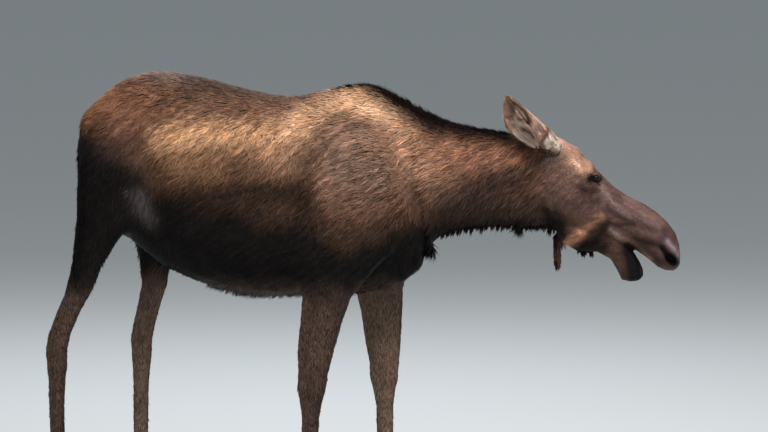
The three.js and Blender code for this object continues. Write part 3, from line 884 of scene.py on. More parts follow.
BODY_STROKES = (
    Stroke("#785440", ((-1.06, -0.15, 1.66), (-0.9, -0.2, 1.6)), 0.11, 0.9),  # rusty rump
    # lit edge of it
    Stroke("#9a6c50", ((-1.1, -0.08, 1.61), (-1.06, -0.08, 1.67), (-1.0, -0.1, 1.72)), 0.03, 0.8),
    Stroke("#45342b", ((-0.66, -0.08, 1.74), (-0.3, -0.08, 1.69)), 0.05, 0.8),  # dark along the loin
    Stroke("#75675e", ((-0.83, -0.05, 1.8), (-0.66, -0.05, 1.78)), 0.03, 0.5),  # grey painted sheen on the top of the croup, over pale-tipped hair
    Stroke(
        "#c0966f",
        (
            (-0.8, -0.2, 1.535), (-0.7, -0.2, 1.56), (-0.56, -0.2, 1.575), (-0.38, -0.2, 1.575),
            (-0.24, -0.2, 1.6),
        ),
        0.042,
        0.8,
    ),  # tan band: tan hair, with the sky's sheen painted into it
    Stroke(
        "#c69d7a",
        (
            (-0.23, -0.2, 1.635), (-0.09, -0.15, 1.67), (0.05, -0.1, 1.69), (0.13, -0.1, 1.65),
            (0.2, -0.1, 1.56),
        ),
        0.04,
        0.85,
    ),  # the band over the hump: tan hair, with painted sheen
    # painted highlight on the top of the hump
    Stroke("#e0b793", ((0.03, -0.2, 1.65), (0.12, -0.16, 1.615)), 0.03, 0.8),
    # the tan band's end, tan hair with painted sheen
    Stroke("#c39a78", ((-0.33, -0.2, 1.545), (-0.25, -0.2, 1.58)), 0.032, 0.7),
    Stroke("#8d6c52", ((-0.37, -0.25, 1.58), (-0.33, -0.28, 1.45)), 0.06, 0.6),  # lit ribs
    Stroke("#826247", ((-0.7, -0.25, 1.43), (-0.6, -0.25, 1.42)), 0.05, 0.6),
    Stroke("#745e51", ((-0.1, -0.25, 1.44), (0.06, -0.25, 1.39)), 0.095, 0.75),  # greyer shoulder
    Stroke("#8b6e5c", ((-0.04, -0.22, 1.535), (0.02, -0.22, 1.53)), 0.035, 0.7),
    # painted shade in the crease behind it
    Stroke("#4f392c", ((-0.175, -0.25, 1.47), (-0.205, -0.27, 1.41), (-0.205, -0.27, 1.3)), 0.03, 0.75),
    Stroke(
        "#664b3c",
        ((-0.6, -0.14, 1.665), (-0.45, -0.14, 1.645), (-0.3, -0.14, 1.655), (-0.21, -0.1, 1.69)),
        0.031,
        0.92,
    ),
    # dark thigh
    Stroke("#432f26", ((-1.02, -0.12, 1.52), (-0.94, -0.2, 1.51), (-0.88, -0.22, 1.53)), 0.055, 0.9),
    Stroke("#4b372d", ((-0.92, -0.25, 1.44), (-0.85, -0.25, 1.43)), 0.04, 0.8),
    Stroke("#664b3c", ((-0.04, -0.25, 1.26), (0.14, -0.25, 1.27)), 0.07, 0.6),
    # base of the neck
    Stroke("#9e785f", ((0.17, -0.2, 1.52), (0.25, -0.2, 1.45), (0.32, -0.18, 1.4)), 0.055, 0.75),
    Stroke("#865f4a", ((0.3, -0.15, 1.5), (0.48, -0.12, 1.46), (0.64, -0.1, 1.46)), 0.042, 0.85),
    Stroke("#4c382e", ((0.42, -0.14, 1.365), (0.5, -0.12, 1.36)), 0.035, 0.75),
    Stroke("#31251f", ((0.48, -0.12, 1.34), (0.56, -0.12, 1.375), (0.65, -0.12, 1.38)), 0.037, 0.95),
    Stroke("#52443f", ((0.34, -0.15, 1.29), (0.66, -0.1, 1.26)), 0.035, 0.75),
    Stroke(
        "#251911",
        (
            (-0.69, -0.25, 1.295), (-0.6, -0.25, 1.32), (-0.42, -0.28, 1.35), (-0.24, -0.28, 1.345),
            (-0.2, -0.27, 1.22),
        ),
        0.048,
        1.0,
    ),
    Stroke("#281a12", ((0.24, -0.1, 1.61), (0.35, -0.1, 1.575), (0.5, -0.1, 1.545)), 0.024, 0.85),
)
# painted glint on the wet fold before the thigh
WET_FOLD_GLINT = Stroke("#57504f", ((-0.88, -0.22, 1.33), (-0.86, -0.22, 1.27), (-0.84, -0.22, 1.22)), 0.024, 0.55)
# the ridge from the hump to the poll
CREST = ((-0.164, 0, 1.71), (-0.082, 0, 1.73), (0.0135, 0, 1.74), (0.094, 0, 1.717), (0.174, 0, 1.66))
CREST += ((0.27, 0, 1.61), (0.346, 0, 1.58), (0.446, 0, 1.556), (0.582, 0, 1.535), (0.69, 0, 1.521))
CREST_STROKES = (
    Stroke(
        "#453529", ((-0.62, 0, 1.77), (-0.5, 0, 1.74), (-0.3, 0, 1.705), (-0.2, 0, 1.715)), 0.034, 0.95, 0.1
    ),
    Stroke(
        "#1f1713", ((-0.2, 0, 1.72), (-0.1, 0, 1.74), (0.02, 0, 1.745), (0.08, 0, 1.725)), 0.02, 0.95, 0.1
    ),
    Stroke("#1a1310", ((0.08, 0, 1.715), (0.14, 0, 1.675), (0.2, 0, 1.635), (0.3, 0, 1.58)), 0.034, 1.0, 0.1),
    Stroke("#1d1511", ((0.3, 0, 1.58), (0.42, 0, 1.552), (0.6, 0, 1.528)), 0.02, 1.0, 0.15),
)

# pale hair at the ear's root
CREAM = Stroke("#e8cfc0", head_line((-30, -26, 84), (-5, -24, 84), (16, -22, 80)), 0.015, 0.95)
HEAD_STROKES = (
    Stroke("#5b4741", head_line((250, -70, 80), (450, -60, 70), (640, -60, 70)), 0.1, 1.0),  # muzzle
    Stroke("#5c4840", head_line((40, -110, 90), (150, -140, 95)), 0.07, 0.9),  # cheek
    Stroke("#b28c78", head_line((0, 0, 20), (90, 0, 20), (130, 0, 30)), 0.036, 1.0, 0.6),  # forehead
    Stroke("#8a6355", head_line((170, 4, 50), (215, 6, 50)), 0.016, 0.9, 0.6),  # brow
    # painted highlight along the bridge of the nose
    Stroke("#7a6059", head_line((240, 4, 15), (400, 16, 15), (520, 50, 15)), 0.024, 0.6, 0.6),
    Stroke("#826a65", head_line((400, 14, 50), (520, 20, 50)), 0.02, 0.6),  # lit side of the muzzle
    # pale over the eye
    Stroke("#dcb294", head_line((106, -18, 76), (143, -13, 78), (174, -1, 76)), 0.0105, 0.85),
    Stroke("#6b4a3a", head_line((126, 12, 20)), 0.008, 0.8, 0.5),  # spot on the forehead
    Stroke(
        "#2e211c", head_line((204, -66, 88), (224, -64, 86), (243, -47, 84), (256, -28, 84)), 0.0105, 0.85
    ),
    # painted highlight along the crest of the face
    Stroke(
        "#8a756e",
        head_line((255, -10, 84), (299, -27, 84), (343, -33, 80), (399, -32, 72), (440, -28, 66)),
        0.009,
        0.8,
    ),
    Stroke("#8c7168", head_line((318, -52, 86)), 0.012, 0.65),
    # painted shade in the groove under the crest
    Stroke(
        "#574441",
        head_line((343, -76, 86), (392, -62, 76), (457, -28, 66), (504, -11, 66), (540, 3, 68)),
        0.010,
        0.8,
    ),
    Stroke("#76594d", head_line((438, -93, 72), (480, -72, 72), (512, -50, 70)), 0.009, 0.75),  # lip muscle
    # painted shade in the crease over it
    Stroke(
        "#2b1f1b", head_line((376, -97, 86), (407, -86, 82), (433, -62, 78), (458, -38, 72)), 0.0075, 0.85
    ),
    # painted shadow in the groove over the upper lip
    Stroke("#2c1e18", head_line((500, -76, 72), (547, -55, 76), (584, -31, 80)), 0.013, 0.85),
    # painted shadow under the nostril's lower wing
    Stroke("#35251c", head_line((560, -78, 78), (640, -72, 78)), 0.014, 0.75),
    Stroke("#bd9f90", head_line((409, -112, 74), (450, -109, 70), (482, -105, 70)), 0.008, 0.9),  # painted highlight on the lip fold
    Stroke("#a17c67", head_line((480, -99, 68), (541, -95, 72), (600, -92, 70)), 0.009, 0.85),  # lip's edge
    # tip of the nose
    Stroke("#7d7072", head_line((676, 12, 20), (700, -20, 30), (700, -50, 20)), 0.02, 0.8, 0.6),
    Stroke("#453638", head_line((570, 30, 50), (580, 14, 66)), 0.0135, 0.9),  # painted shade in the hollow behind the wing
    # more painted shade in that hollow
    Stroke("#463738", head_line((598, 27, 64)), 0.009, 0.85),
    Stroke("#4a3a37", head_line((525, -8, 70), (556, 18, 66)), 0.009, 0.65),
    Stroke("#96878a", head_line((602, 10, 74), (656, 5, 70), (684, -4, 56)), 0.008, 0.85),  # painted highlight on the wing of the nostril
    Stroke("#151011", head_line((600, -24, 82), (642, -32, 80)), 0.008, 1.3),  # painted shade in the nostril's tail and its opening
    Stroke("#0a0708", head_line((654, -33, 76), (678, -33, 64)), 0.015, 1.5),
    Stroke("#100c0c", head_line((204, -20, 80), (236, -5, 80)), 0.0105, 1.4),  # lids
    CREAM,
    Stroke("#554b48", head_line((-10, -66, 96), (40, -70, 98)), 0.02, 0.7),
)
JAW_STROKES = (
    Stroke("#2b211d", head_line((60, -222, 80), (130, -216, 84), (190, -212, 84)), 0.028, 0.75),
    # throat
    Stroke(
        "#141110", head_line((40, -258, 60), (130, -250, 60), (240, -242, 60), (292, -284, 30)), 0.032, 1.2
    ),
    Stroke("#2a201c", head_line((384, -122, 74), (397, -165, 60), (410, -190, 50)), 0.022, 0.95),
    # under the jaw
    Stroke("#100d0c", head_line((398, -196, 50), (390, -226, 40), (396, -262, 30)), 0.025, 1.25),
    Stroke("#231b19", head_line((437, -178, 40), (432, -215, 30)), 0.022, 0.95),
    Stroke(
        "#9d7159", head_line((345, -104, 84), (333, -160, 84), (330, -205, 60), (328, -260, 30)), 0.0105, 1.0
    ),
    Stroke("#2a201c", head_line((364, -178, 66), (378, -200, 60)), 0.011, 0.65),
    Stroke("#a67a62", head_line((330, -200, 60), (328, -270, 30)), 0.0135, 0.95),  # rusty streak
    Stroke("#5b4437", head_line((485, -166, 46), (521, -190, 42), (545, -212, 30)), 0.016, 0.8),  # chin
    Stroke("#161416", head_line((528, -124, 36), (566, -148, 34), (610, -182, 30)), 0.029, 1.25),  # lower lip
    Stroke("#1b1516", head_line((500, -116, 20), (600, -116, 15)), 0.012, 0.9),  # painted shade inside the mouth
)
# where the black of her underparts ends: x and height
BLACK_LINE = np.array(
    [(-1.3, 1.62), (-1.11, 1.57), (-1.02, 1.53), (-0.95, 1.5), (-0.88, 1.43), (-0.82, 1.375)]
    + [(-0.715, 1.305), (-0.47, 1.25), (-0.25, 1.205), (-0.114, 1.13), (0.03, 1.13), (0.186, 1.19)]
    + [(0.35, 1.225), (0.5, 1.22), (0.7, 1.215)]
    + [(0.8, 1.18), (0.9, 1.0)]
)


# painted shade in dark lines where the ear's folds lie
EAR_FOLD_SHADE = (
    # height on the ear in metres and turn round it, from end to end; reach; strength
    (((0.24, 1.1), (0.222, 1.22), (0.206, 1.34), (0.188, 1.4), (0.172, 1.62), (0.158, 1.85)), 0.0105, 1.0),
    (((0.25, 0.0), (0.225, -0.2), (0.2, -0.5)), 0.011, 0.7),
    (((0.235, 0.5), (0.2, 0.2), (0.17, 0.0)), 0.014, 0.7),
    (((0.205, -1.3), (0.185, -0.95)), 0.008, 0.55),
    (((0.16, -0.62), (0.146, -0.42)), 0.008, 0.75),
    (((0.122, -1.0), (0.108, -0.9), (0.09, -0.82), (0.058, -0.78)), 0.0075, 0.9),
    (((0.104, 1.7), (0.09, 1.6)), 0.008, 0.5),
    (((0.08, -0.3), (0.06, -0.1)), 0.008, 0.6),
)


@dataclass(frozen=True)
class EarAxes:
    """One ear's own axes: from its root to its tip, and the way its cup faces."""

    side: int
    root: np.ndarray
    surface: BVHTree
    turn: float = 0.35
    middle: float = 0.026  # from the axis to the middle of the cup
    reach: float = 0.34  # from the root to well past the tip

    @property
    def tipward(self) -> np.ndarray:
        """From root to tip; her left ear is let down further."""
        return unit(np.array([-0.69, -0.18, 0.7] if self.side == RIGHT else [-0.64, 0.66, 0.42]))

    @property
    def facing(self) -> np.ndarray:
        """Out of the cup: outward and down, turned to the back."""
        out = np.array([-0.3, self.side * 0.92, -0.3])
        out = unit(out - self.tipward * (out @ self.tipward))
        turn = self.side * self.turn
        return out * math.cos(turn) + np.cross(self.tipward, out) * math.sin(turn)

    def holds(self, points: np.ndarray) -> np.ndarray:
        """Which points are on this ear's own surface.

        Args:
            points: places, one row each.

        Returns:
            True or false for each.
        """
        found = np.linalg.norm(points - self.root, axis=1) < self.reach
        for row in np.nonzero(found)[0]:
            found[row] = self.surface.find_nearest(Vector(points[row]), 0.0006)[0] is not None
        return found

    def read(self, points: np.ndarray, normals: np.ndarray) -> tuple[np.ndarray, np.ndarray, np.ndarray]:
        """How far each point is towards the tip and round to the front, and whether it is inside the cup.

        Args:
            points: places on the ear.
            normals: the way the surface faces there.

        Returns:
            The height in metres, the angle from the cup's back wall in radians, and 0 outside to 1 inside.
        """
        away = points - self.root
        front = np.cross(self.tipward, self.facing) * -self.side
        ahead, out = away @ front, away @ self.facing - self.middle
        to_middle = unit(-front * ahead[:, None] - self.facing * out[:, None])
        inside = smooth(-0.1, 0.35, np.sum(normals * to_middle, axis=1))
        return away @ self.tipward, np.arctan2(ahead, -out), inside


@dataclass(frozen=True)
class Markings:
    """Her colours: what skin and coat both read, at any point."""

    back: str = "#5b4132"
    black: str = "#161312"
    border: str = "#33271f"
    leg: str = "#4b3c34"
    leg_front: str = "#352b27"
    leg_inside: str = "#756152"
    # painted shade for the black parts that face the floor
    underside: str = "#0b0909"
    ear_girth: float = 0.06  # from the middle of the cup to its wall

    def read(self, points: np.ndarray, normals: np.ndarray) -> tuple[np.ndarray, np.ndarray]:
        """The coat's colour and wetness.

        Args:
            points: places on the body.
            normals: the way the surface faces there.

        Returns:
            Linear colours, one row each, and wetness from 0 to 1.
        """
        right = on_right(points)
        x, z = right[:, 0], right[:, 2]
        on_head = HEAD.read(points)
        along = on_head[:, 0]
        face = smooth(-50, 30, along) * smooth(0.68, 0.75, x)
        colour = np.repeat(linear(self.back)[None], len(points), axis=0)

        def paint(tint: str, cover: np.ndarray) -> None:
            """Lays one colour over what is there."""
            cover = np.clip(cover, 0, 1)[:, None]
            colour[:] = colour * (1 - cover) + linear(tint) * cover

        for stroke in BODY_STROKES:
            paint(stroke.colour, stroke.cover(right))
        soft = waves(points, 0.16, 3) * 0.022 + waves(points, 0.05, 4) * 0.012
        edge = np.interp(x, BLACK_LINE[:, 0], BLACK_LINE[:, 1])
        below = smooth(0.075, -0.06, z - edge + soft) * (1 - face)
        border = smooth(0.17, 0.04, z - edge + soft) * (0.35 + 0.35 * smooth(-0.75, -0.55, x))
        paint(self.border, border * (1 - face))
        paint(self.black, below)
        # painted glint on the wet fold before the thigh
        paint(WET_FOLD_GLINT.colour, WET_FOLD_GLINT.cover(right))
        # painted shade on the black parts that face down
        paint(self.underside, below * smooth(0.1, 0.7, -normals[:, 2]) * smooth(1.3, 1.15, z))
        for stroke in CREST_STROKES:
            paint(stroke.colour, stroke.cover(points) * (1 - face * 0.8))
        leg = smooth(1.02, 0.84, z + soft)
        outer = np.where(points[:, 1] > 0, normals[:, 1], -normals[:, 1])
        paint(self.leg, leg)
        paint(self.leg_front, leg * smooth(0.1, 0.75, normals[:, 0]) * 0.8)
        paint(self.leg_inside, leg * smooth(0.0, 0.7, -outer) * 0.7)
        paint(self.leg_inside, leg * smooth(0.3, 0.9, -normals[:, 0]) * 0.45)
        paint(self.leg_front, leg * smooth(0.2, 0.08, z) * 0.8)
        body = colour.copy()
        for stroke in HEAD_STROKES + JAW_STROKES:
            paint(stroke.colour, stroke.cover(right))
        colour = body + (colour - body) * face[:, None]
        shade = 1 + waves(points, 0.11, 5) * 0.07
        shade += waves(points, 0.035, 6) * 0.06
        shade += waves(points, 0.014, 7) * 0.09
        jaw = smooth(-150, -190, on_head[:, 1]) * face
        wet = np.clip(below * 0.95 + jaw * 0.9 + face * smooth(420, 600, along) * 0.5 + leg * 0.35, 0, 1)
        return colour * shade[:, None], wet

    def read_ear(
        self, points: np.ndarray, normals: np.ndarray, ear: EarAxes
    ) -> tuple[np.ndarray, np.ndarray]:
        """The colour and wetness of one ear: tan outside, pale in the cup, with painted shade along its
        folds.

        Args:
            points: places on the ear.
            normals: the way the surface faces there.
            ear: its axes.

        Returns:
            Linear colours, one row each, and wetness from 0 to 1.
        """
        t, angle, inside = ear.read(points, normals)

        def blend(first: np.ndarray, second: str, share: np.ndarray) -> np.ndarray:
            """One colour turned into another."""
            return first + (linear(second) - first) * np.clip(share, 0, 1)[:, None]

        start = np.zeros((len(points), 3))
        right = on_right(points)
        outer = blend(start + linear("#6a564d"), CREAM.colour, CREAM.cover(right))
        front = smooth(0.006, 0.022, t) * smooth(2.3, 1.9, angle) * smooth(1.05, 1.35, angle)
        outer = blend(outer, "#e9d2c2", front)
        outer = blend(outer, "#7d6051", smooth(0.05, 0.068, t))
        outer = blend(outer, "#947868", smooth(0.075, 0.105, t))
        side = smooth(0.07, 0.1, t) * smooth(1.65, 1.2, angle) * smooth(0.7, 0.9, angle)
        outer = blend(outer, "#bb9d8b", side)
        outer = blend(outer, "#806456", smooth(0.17, 0.24, t) * 0.7)
        far = smooth(0.14, 0.2, t) * (0.55 + 0.45 * smooth(0, -0.7, angle))
        cup = blend(start + linear("#eed0bd"), "#b39080", far)
        cup = blend(cup, "#b39080", smooth(-1.15, -1.45, angle) * smooth(0.13, 0.155, t))
        cup = blend(cup, "#ad8973", smooth(0.225, 0.25, t))
        colour = outer + (cup - outer) * inside[:, None]
        flat = np.stack([t, angle * self.ear_girth, np.zeros(len(t))], axis=1)
        # painted shade along the ear's folds
        for fold, reach, strength in EAR_FOLD_SHADE:
            line = np.array([(height, turn * self.ear_girth, 0) for height, turn in fold])
            colour = blend(colour, "#2b211d", strength * np.exp(-0.5 * (near_line(flat, line) / reach) ** 2))
        return colour, np.zeros(len(points))


# ---------------------------------------------------------------- lie of the coat


COMBS = (
    # place on her right side, direction of the hair (x, away from the midline, z), reach
    ((-0.9, -0.06, 1.77), (-1, 0.1, -0.1), 0.1),
    ((-1.06, -0.06, 1.68), (-0.8, 0.1, -0.6), 0.08),
    ((-1.13, -0.1, 1.5), (-0.35, 0.1, -1), 0.1),
    ((-1.12, -0.12, 1.25), (-0.05, 0, -1), 0.14),
    ((-0.98, -0.2, 1.55), (-0.72, 0.1, -0.7), 0.12),
    ((-0.95, -0.22, 1.3), (-0.35, 0, -1), 0.14),
    ((-0.72, -0.2, 1.6), (-0.85, 0.1, -0.55), 0.1),
    ((-0.6, -0.05, 1.72), (-1, 0.1, -0.1), 0.1),
    ((-0.6, -0.25, 1.45), (-0.62, 0, -0.8), 0.12),
    ((-0.62, -0.27, 1.2), (-0.7, -0.1, -0.55), 0.12),
    ((-0.36, -0.2, 1.58), (-0.62, 0.1, -0.75), 0.1),
    ((-0.34, -0.28, 1.42), (-0.5, 0, -0.85), 0.12),
    ((-0.3, -0.28, 1.15), (-0.8, -0.1, -0.6), 0.12),
    ((-0.3, -0.05, 1.68), (-1, 0.1, -0.05), 0.08),
    ((-0.3, 0.0, 1.0), (-1, -0.02, 0), 0.14),
    ((-0.08, -0.1, 1.68), (-0.95, 0.1, -0.2), 0.1),
    ((0.05, -0.05, 1.74), (-1, 0.1, 0.0), 0.1),
    ((-0.05, -0.24, 1.45), (-0.85, 0, -0.42), 0.12),
    ((0.1, -0.22, 1.35), (-0.9, 0, -0.4), 0.12),
    ((0.12, -0.22, 1.15), (-0.5, 0, -0.85), 0.12),
    ((0.2, -0.1, 1.6), (-0.95, 0.1, -0.15), 0.1),
    ((0.25, -0.15, 1.42), (-0.9, 0, -0.45), 0.1),
    ((0.28, -0.08, 1.2), (-0.45, 0, -0.9), 0.1),
    ((0.45, -0.05, 1.57), (-0.95, 0.25, -0.25), 0.08),
    ((0.45, -0.12, 1.45), (-0.85, 0.1, -0.55), 0.08),
    ((0.45, -0.12, 1.33), (-0.72, 0, -0.7), 0.07),
    ((0.48, -0.04, 1.22), (-0.4, 0, -0.92), 0.07),
    ((0.66, -0.1, 1.46), (-0.8, 0.1, -0.6), 0.06),
    ((0.68, -0.1, 1.33), (-0.68, 0.1, -0.75), 0.06),
    ((0.7, -0.04, 1.2), (-0.4, 0, -0.92), 0.06),
    ((0.82, -0.1, 1.36), (-0.78, 0.1, -0.62), 0.06),
    ((0.86, -0.09, 1.27), (-0.7, 0.1, -0.72), 0.06),
    ((0.86, -0.04, 1.47), (-0.72, 0.15, 0.68), 0.04),
    ((0.95, -0.02, 1.39), (-0.7, 0.1, 0.7), 0.04),
    ((1.0, -0.09, 1.27), (-0.8, 0.1, 0.25), 0.06),
    ((1.12, -0.07, 1.2), (-0.75, 0.1, 0.5), 0.08),
    ((1.05, -0.07, 1.1), (-0.9, 0.05, 0.1), 0.06),
    ((0.95, -0.04, 1.13), (-0.8, 0, -0.45), 0.06),
    ((1.22, -0.03, 1.08), (-0.6, 0.2, 0.7), 0.06),
)


def lie_at(
    points: np.ndarray, normals: np.ndarray, rng: np.random.Generator, stray: float = 0.2
) -> np.ndarray:
    """The way the hair points at each place, along the surface.

    Args:
        points: places on the skin.
        normals: the way the skin faces there.
        rng: for each tuft's own turn.
        stray: that turn's usual size, in radians.

    Returns:
        Directions of length one, square to the normals.
    """
    side = np.where(points[:, 1:2] > 0, 1.0, -1.0)
    right = on_right(points)
    total = np.zeros_like(points)
    for place, way, reach in COMBS:
        weight = np.exp(-0.5 * np.sum((right - place) ** 2, axis=1) / reach**2) + 1e-9
        total += weight[:, None] * unit(np.array(way, float))
    total[:, 1:2] *= side
    total = unit(total)
    leg = smooth(1.02, 0.9, points[:, 2])[:, None]
    total = total * (1 - leg) + np.array([0.0, 0.0, -1.0]) * leg
    along = unit(total - normals * np.sum(total * normals, axis=1, keepdims=True))
    turn = rng.normal(0, stray, len(points)) + waves(points, 0.06, 11) * 0.16 + waves(points, 0.2, 12) * 0.12
    across = np.cross(normals, along)
    return along * np.cos(turn)[:, None] + across * np.sin(turn)[:, None]


# ---------------------------------------------------------------- coat


class Lock(Enum):
    """The shapes of a tuft: a folded blade that lies flat, or a round lock that stands or hangs."""

    BLADE = "blade"
    ROUND = "round"


BLADE_FACES = np.array([(0, 4, 2), (0, 1, 4), (1, 3, 4), (2, 4, 5), (4, 3, 5)])


def round_faces() -> np.ndarray:
    """The triangles of a round lock: two bands between its three rings, and the point."""
    faces = []
    for low in (0, 3):
        for k in range(3):
            here, there = low + k, low + (k + 1) % 3
            faces += [(here, there, here + 3), (there, there + 3, here + 3)]
    return np.array(faces + [(6, 7, 9), (7, 8, 9), (8, 6, 9)])


ROUND_FACES = round_faces()
ROOT_DEPTH = 0.0012  # how far a blade starts inside the skin


@dataclass
class Tufts:
    """Many tufts at once: one row a tuft, lengths in metres."""

    root: np.ndarray
    normal: np.ndarray
    lie: np.ndarray
    length: np.ndarray
    width: np.ndarray
    stand: np.ndarray
    colour: np.ndarray
    wet: np.ndarray
    fall: np.ndarray | float = 0.0

    def pick(self, rows: np.ndarray) -> "Tufts":
        """Some of the tufts.

        Args:
            rows: their numbers.

        Returns:
            Those tufts.
        """
        parts = {
            name: value[rows] if isinstance(value, np.ndarray) else value
            for name, value in vars(self).items()
        }
        return Tufts(**parts)

    def blades(self, rng: np.random.Generator) -> tuple[np.ndarray, np.ndarray]:
        """Six points a tuft, and how light each point is.

        Args:
            rng: picks chance values.

        Returns:
            The points and their lightness, one row a tuft.
        """
        across = np.cross(self.normal, self.lie)
        bend = across * rng.normal(0, 0.1, len(self.root))[:, None]
        length, width, stand = self.length[:, None], self.width[:, None], self.stand[:, None]
        base = self.root - self.normal * ROOT_DEPTH
        middle = self.root + (self.lie + bend * 0.3) * length * 0.45 + self.normal * stand * 0.55
        tip = self.root + unit(self.lie + bend) * length + self.normal * stand
        points = np.stack(
            [
                base + across * width * 0.4,
                base - across * width * 0.4,
                middle + across * width * 0.5,
                middle - across * width * 0.5,
                middle + self.normal * width * 0.28,
                tip,
            ],
            axis=1,
        )
        light = np.tile([0.5, 0.5, 0.86, 0.86, 1.05, 1.3], (len(self.root), 1))
        return points, light

    def rounds(self, rng: np.random.Generator) -> tuple[np.ndarray, np.ndarray]:
        """Ten points a tuft, three to a ring, and how light each point is.

        Args:
            rng: picks chance values.

        Returns:
            The points and their lightness, one row a tuft.
        """
        bend = unit(rng.normal(size=self.root.shape)) * 0.12
        fall = np.broadcast_to(np.asarray(self.fall, float), (len(self.root),))[:, None]
        ahead = unit(self.lie + self.normal * self.stand[:, None] / self.length[:, None])
        first = unit(np.cross(ahead, self.normal + 0.01))
        second = np.cross(ahead, first)
        rings = []
        for share, girth in ((-0.06, 0.42), (0.3, 0.5), (0.68, 0.3)):
            way = ahead * share + (bend - UP * fall) * share * abs(share)
            centre = self.root + way * self.length[:, None]
            for k in range(3):
                turn = 2 * math.pi * k / 3
                ring = first * math.cos(turn) + second * math.sin(turn)
                rings.append(centre + ring * girth * self.width[:, None])
        rings.append(self.root + (ahead + bend - UP * fall) * self.length[:, None])
        light = np.tile([0.6] * 3 + [0.9] * 3 + [1.05] * 3 + [1.2], (len(self.root), 1))
        return np.stack(rings, axis=1), light


def unwrap(points: np.ndarray, axis: np.ndarray) -> np.ndarray:
    """The skin's own unwrap: the length along an axis, and the angle round the middle line there.

    Args:
        points: the roots of one piece's tufts.
        axis: the way the piece runs.

    Returns:
        Places from 0 to 1, one row a root.
    """
    axis = unit(axis)
    first = unit(np.cross(axis, [0.31, 0.05, 0.95]))
    second = np.cross(axis, first)
    t = points @ axis
    slices = 16
    bins = np.clip(((t - t.min()) / (np.ptp(t) + 1e-9) * slices).astype(int), 0, slices - 1)
    count = np.maximum(np.bincount(bins, minlength=slices), 1)
    flat = []
    for way in (first, second):
        value = points @ way
        mean = np.bincount(bins, value, slices) / count
        flat.append(value - np.interp(t, np.linspace(t.min(), t.max(), slices), mean))
    angle = np.arctan2(flat[1], flat[0])
    u = (t - t.min()) / (np.ptp(t) + 1e-9)
    v = (angle - angle.min()) / (np.ptp(angle) + 1e-9)
    return np.stack([u, v], axis=1) * 0.99 + 0.005


def grow(
    name: str, tufts: Tufts, kind: Lock, axis: np.ndarray, material: bpy.types.Material, seed: int
) -> bpy.types.Object:
    """Makes one piece of coat from arrays, with its colours and its map.

    Args:
        name: the piece's name.
        tufts: its tufts.
        kind: their shape.
        axis: the way the piece runs, for the unwrap.
        material: its finish.
        seed: picks each tuft's chance differences.

    Returns:
        The piece.
    """
    rng = np.random.default_rng(seed)
    points, light = tufts.blades(rng) if kind is Lock.BLADE else tufts.rounds(rng)
    pattern = BLADE_FACES if kind is Lock.BLADE else ROUND_FACES
    count, each = points.shape[:2]
    faces = (pattern[None] + (np.arange(count) * each)[:, None, None]).reshape(-1, 3)
    mesh = bpy.data.meshes.new(name)
    mesh.vertices.add(count * each)
    mesh.loops.add(len(faces) * 3)
    mesh.polygons.add(len(faces))
    mesh.vertices.foreach_set("co", points.astype(np.float32).ravel())
    mesh.loops.foreach_set("vertex_index", faces.astype(np.int32).ravel())
    mesh.polygons.foreach_set("loop_start", np.arange(0, len(faces) * 3, 3, dtype=np.int32))
    mesh.polygons.foreach_set("use_smooth", np.ones(len(faces), bool))
    # the body's hair is more streaked than the face's
    contrast = 0.3 + 0.16 * smooth(0.75, 0.6, tufts.root[:, 0])
    own = np.exp(rng.normal(0, 0.19, count) + streaks(tufts.root, tufts.lie, 0.02, 0.045, 21) * contrast)
    warm = rng.normal(0, 0.06, (count, 1)) * [1.0, 0.0, -1.0]
    tint = np.clip(tufts.colour[:, None] * (own[:, None] * light)[..., None] * (1 + warm[:, None]), 0, 1)
    dress_points(mesh, tint.reshape(-1, 3), np.repeat(tufts.wet, each))
    place = unwrap(tufts.root, axis)
    patch = rng.uniform(-0.0015, 0.0015, (count, each, 2))
    uv = np.clip(place[:, None] + patch, 0, 1).reshape(-1, 2)
    layer = mesh.uv_layers.new(name="OFBake")
    layer.data.foreach_set("uv", uv[faces.ravel()].astype(np.float32).ravel())
    mesh.update(calc_edges=True)
    mesh.validate()
    mesh.materials.append(material)
    piece = bpy.data.objects.new(name, mesh)
    bpy.context.scene.collection.objects.link(piece)
    LOG.info("%s: %d tufts, %d triangles", name, count, len(faces))
    return piece


def dress_points(mesh: bpy.types.Mesh, colour: np.ndarray, wet: np.ndarray) -> None:
    """Gives each vertex its colour and wetness.

    Args:
        mesh: the mesh.
        colour: a linear colour for each vertex.
        wet: a wetness from 0 to 1 for each vertex.
    """
    opaque = np.c_[np.clip(colour, 0, 1), np.ones(len(colour))]
    tint = mesh.attributes.new(Attribute.COLOUR.value, "FLOAT_COLOR", "POINT")
    tint.data.foreach_set("color", opaque.astype(np.float32).ravel())
    slick = mesh.attributes.new(Attribute.WET.value, "FLOAT", "POINT")
    slick.data.foreach_set("value", wet.astype(np.float32))


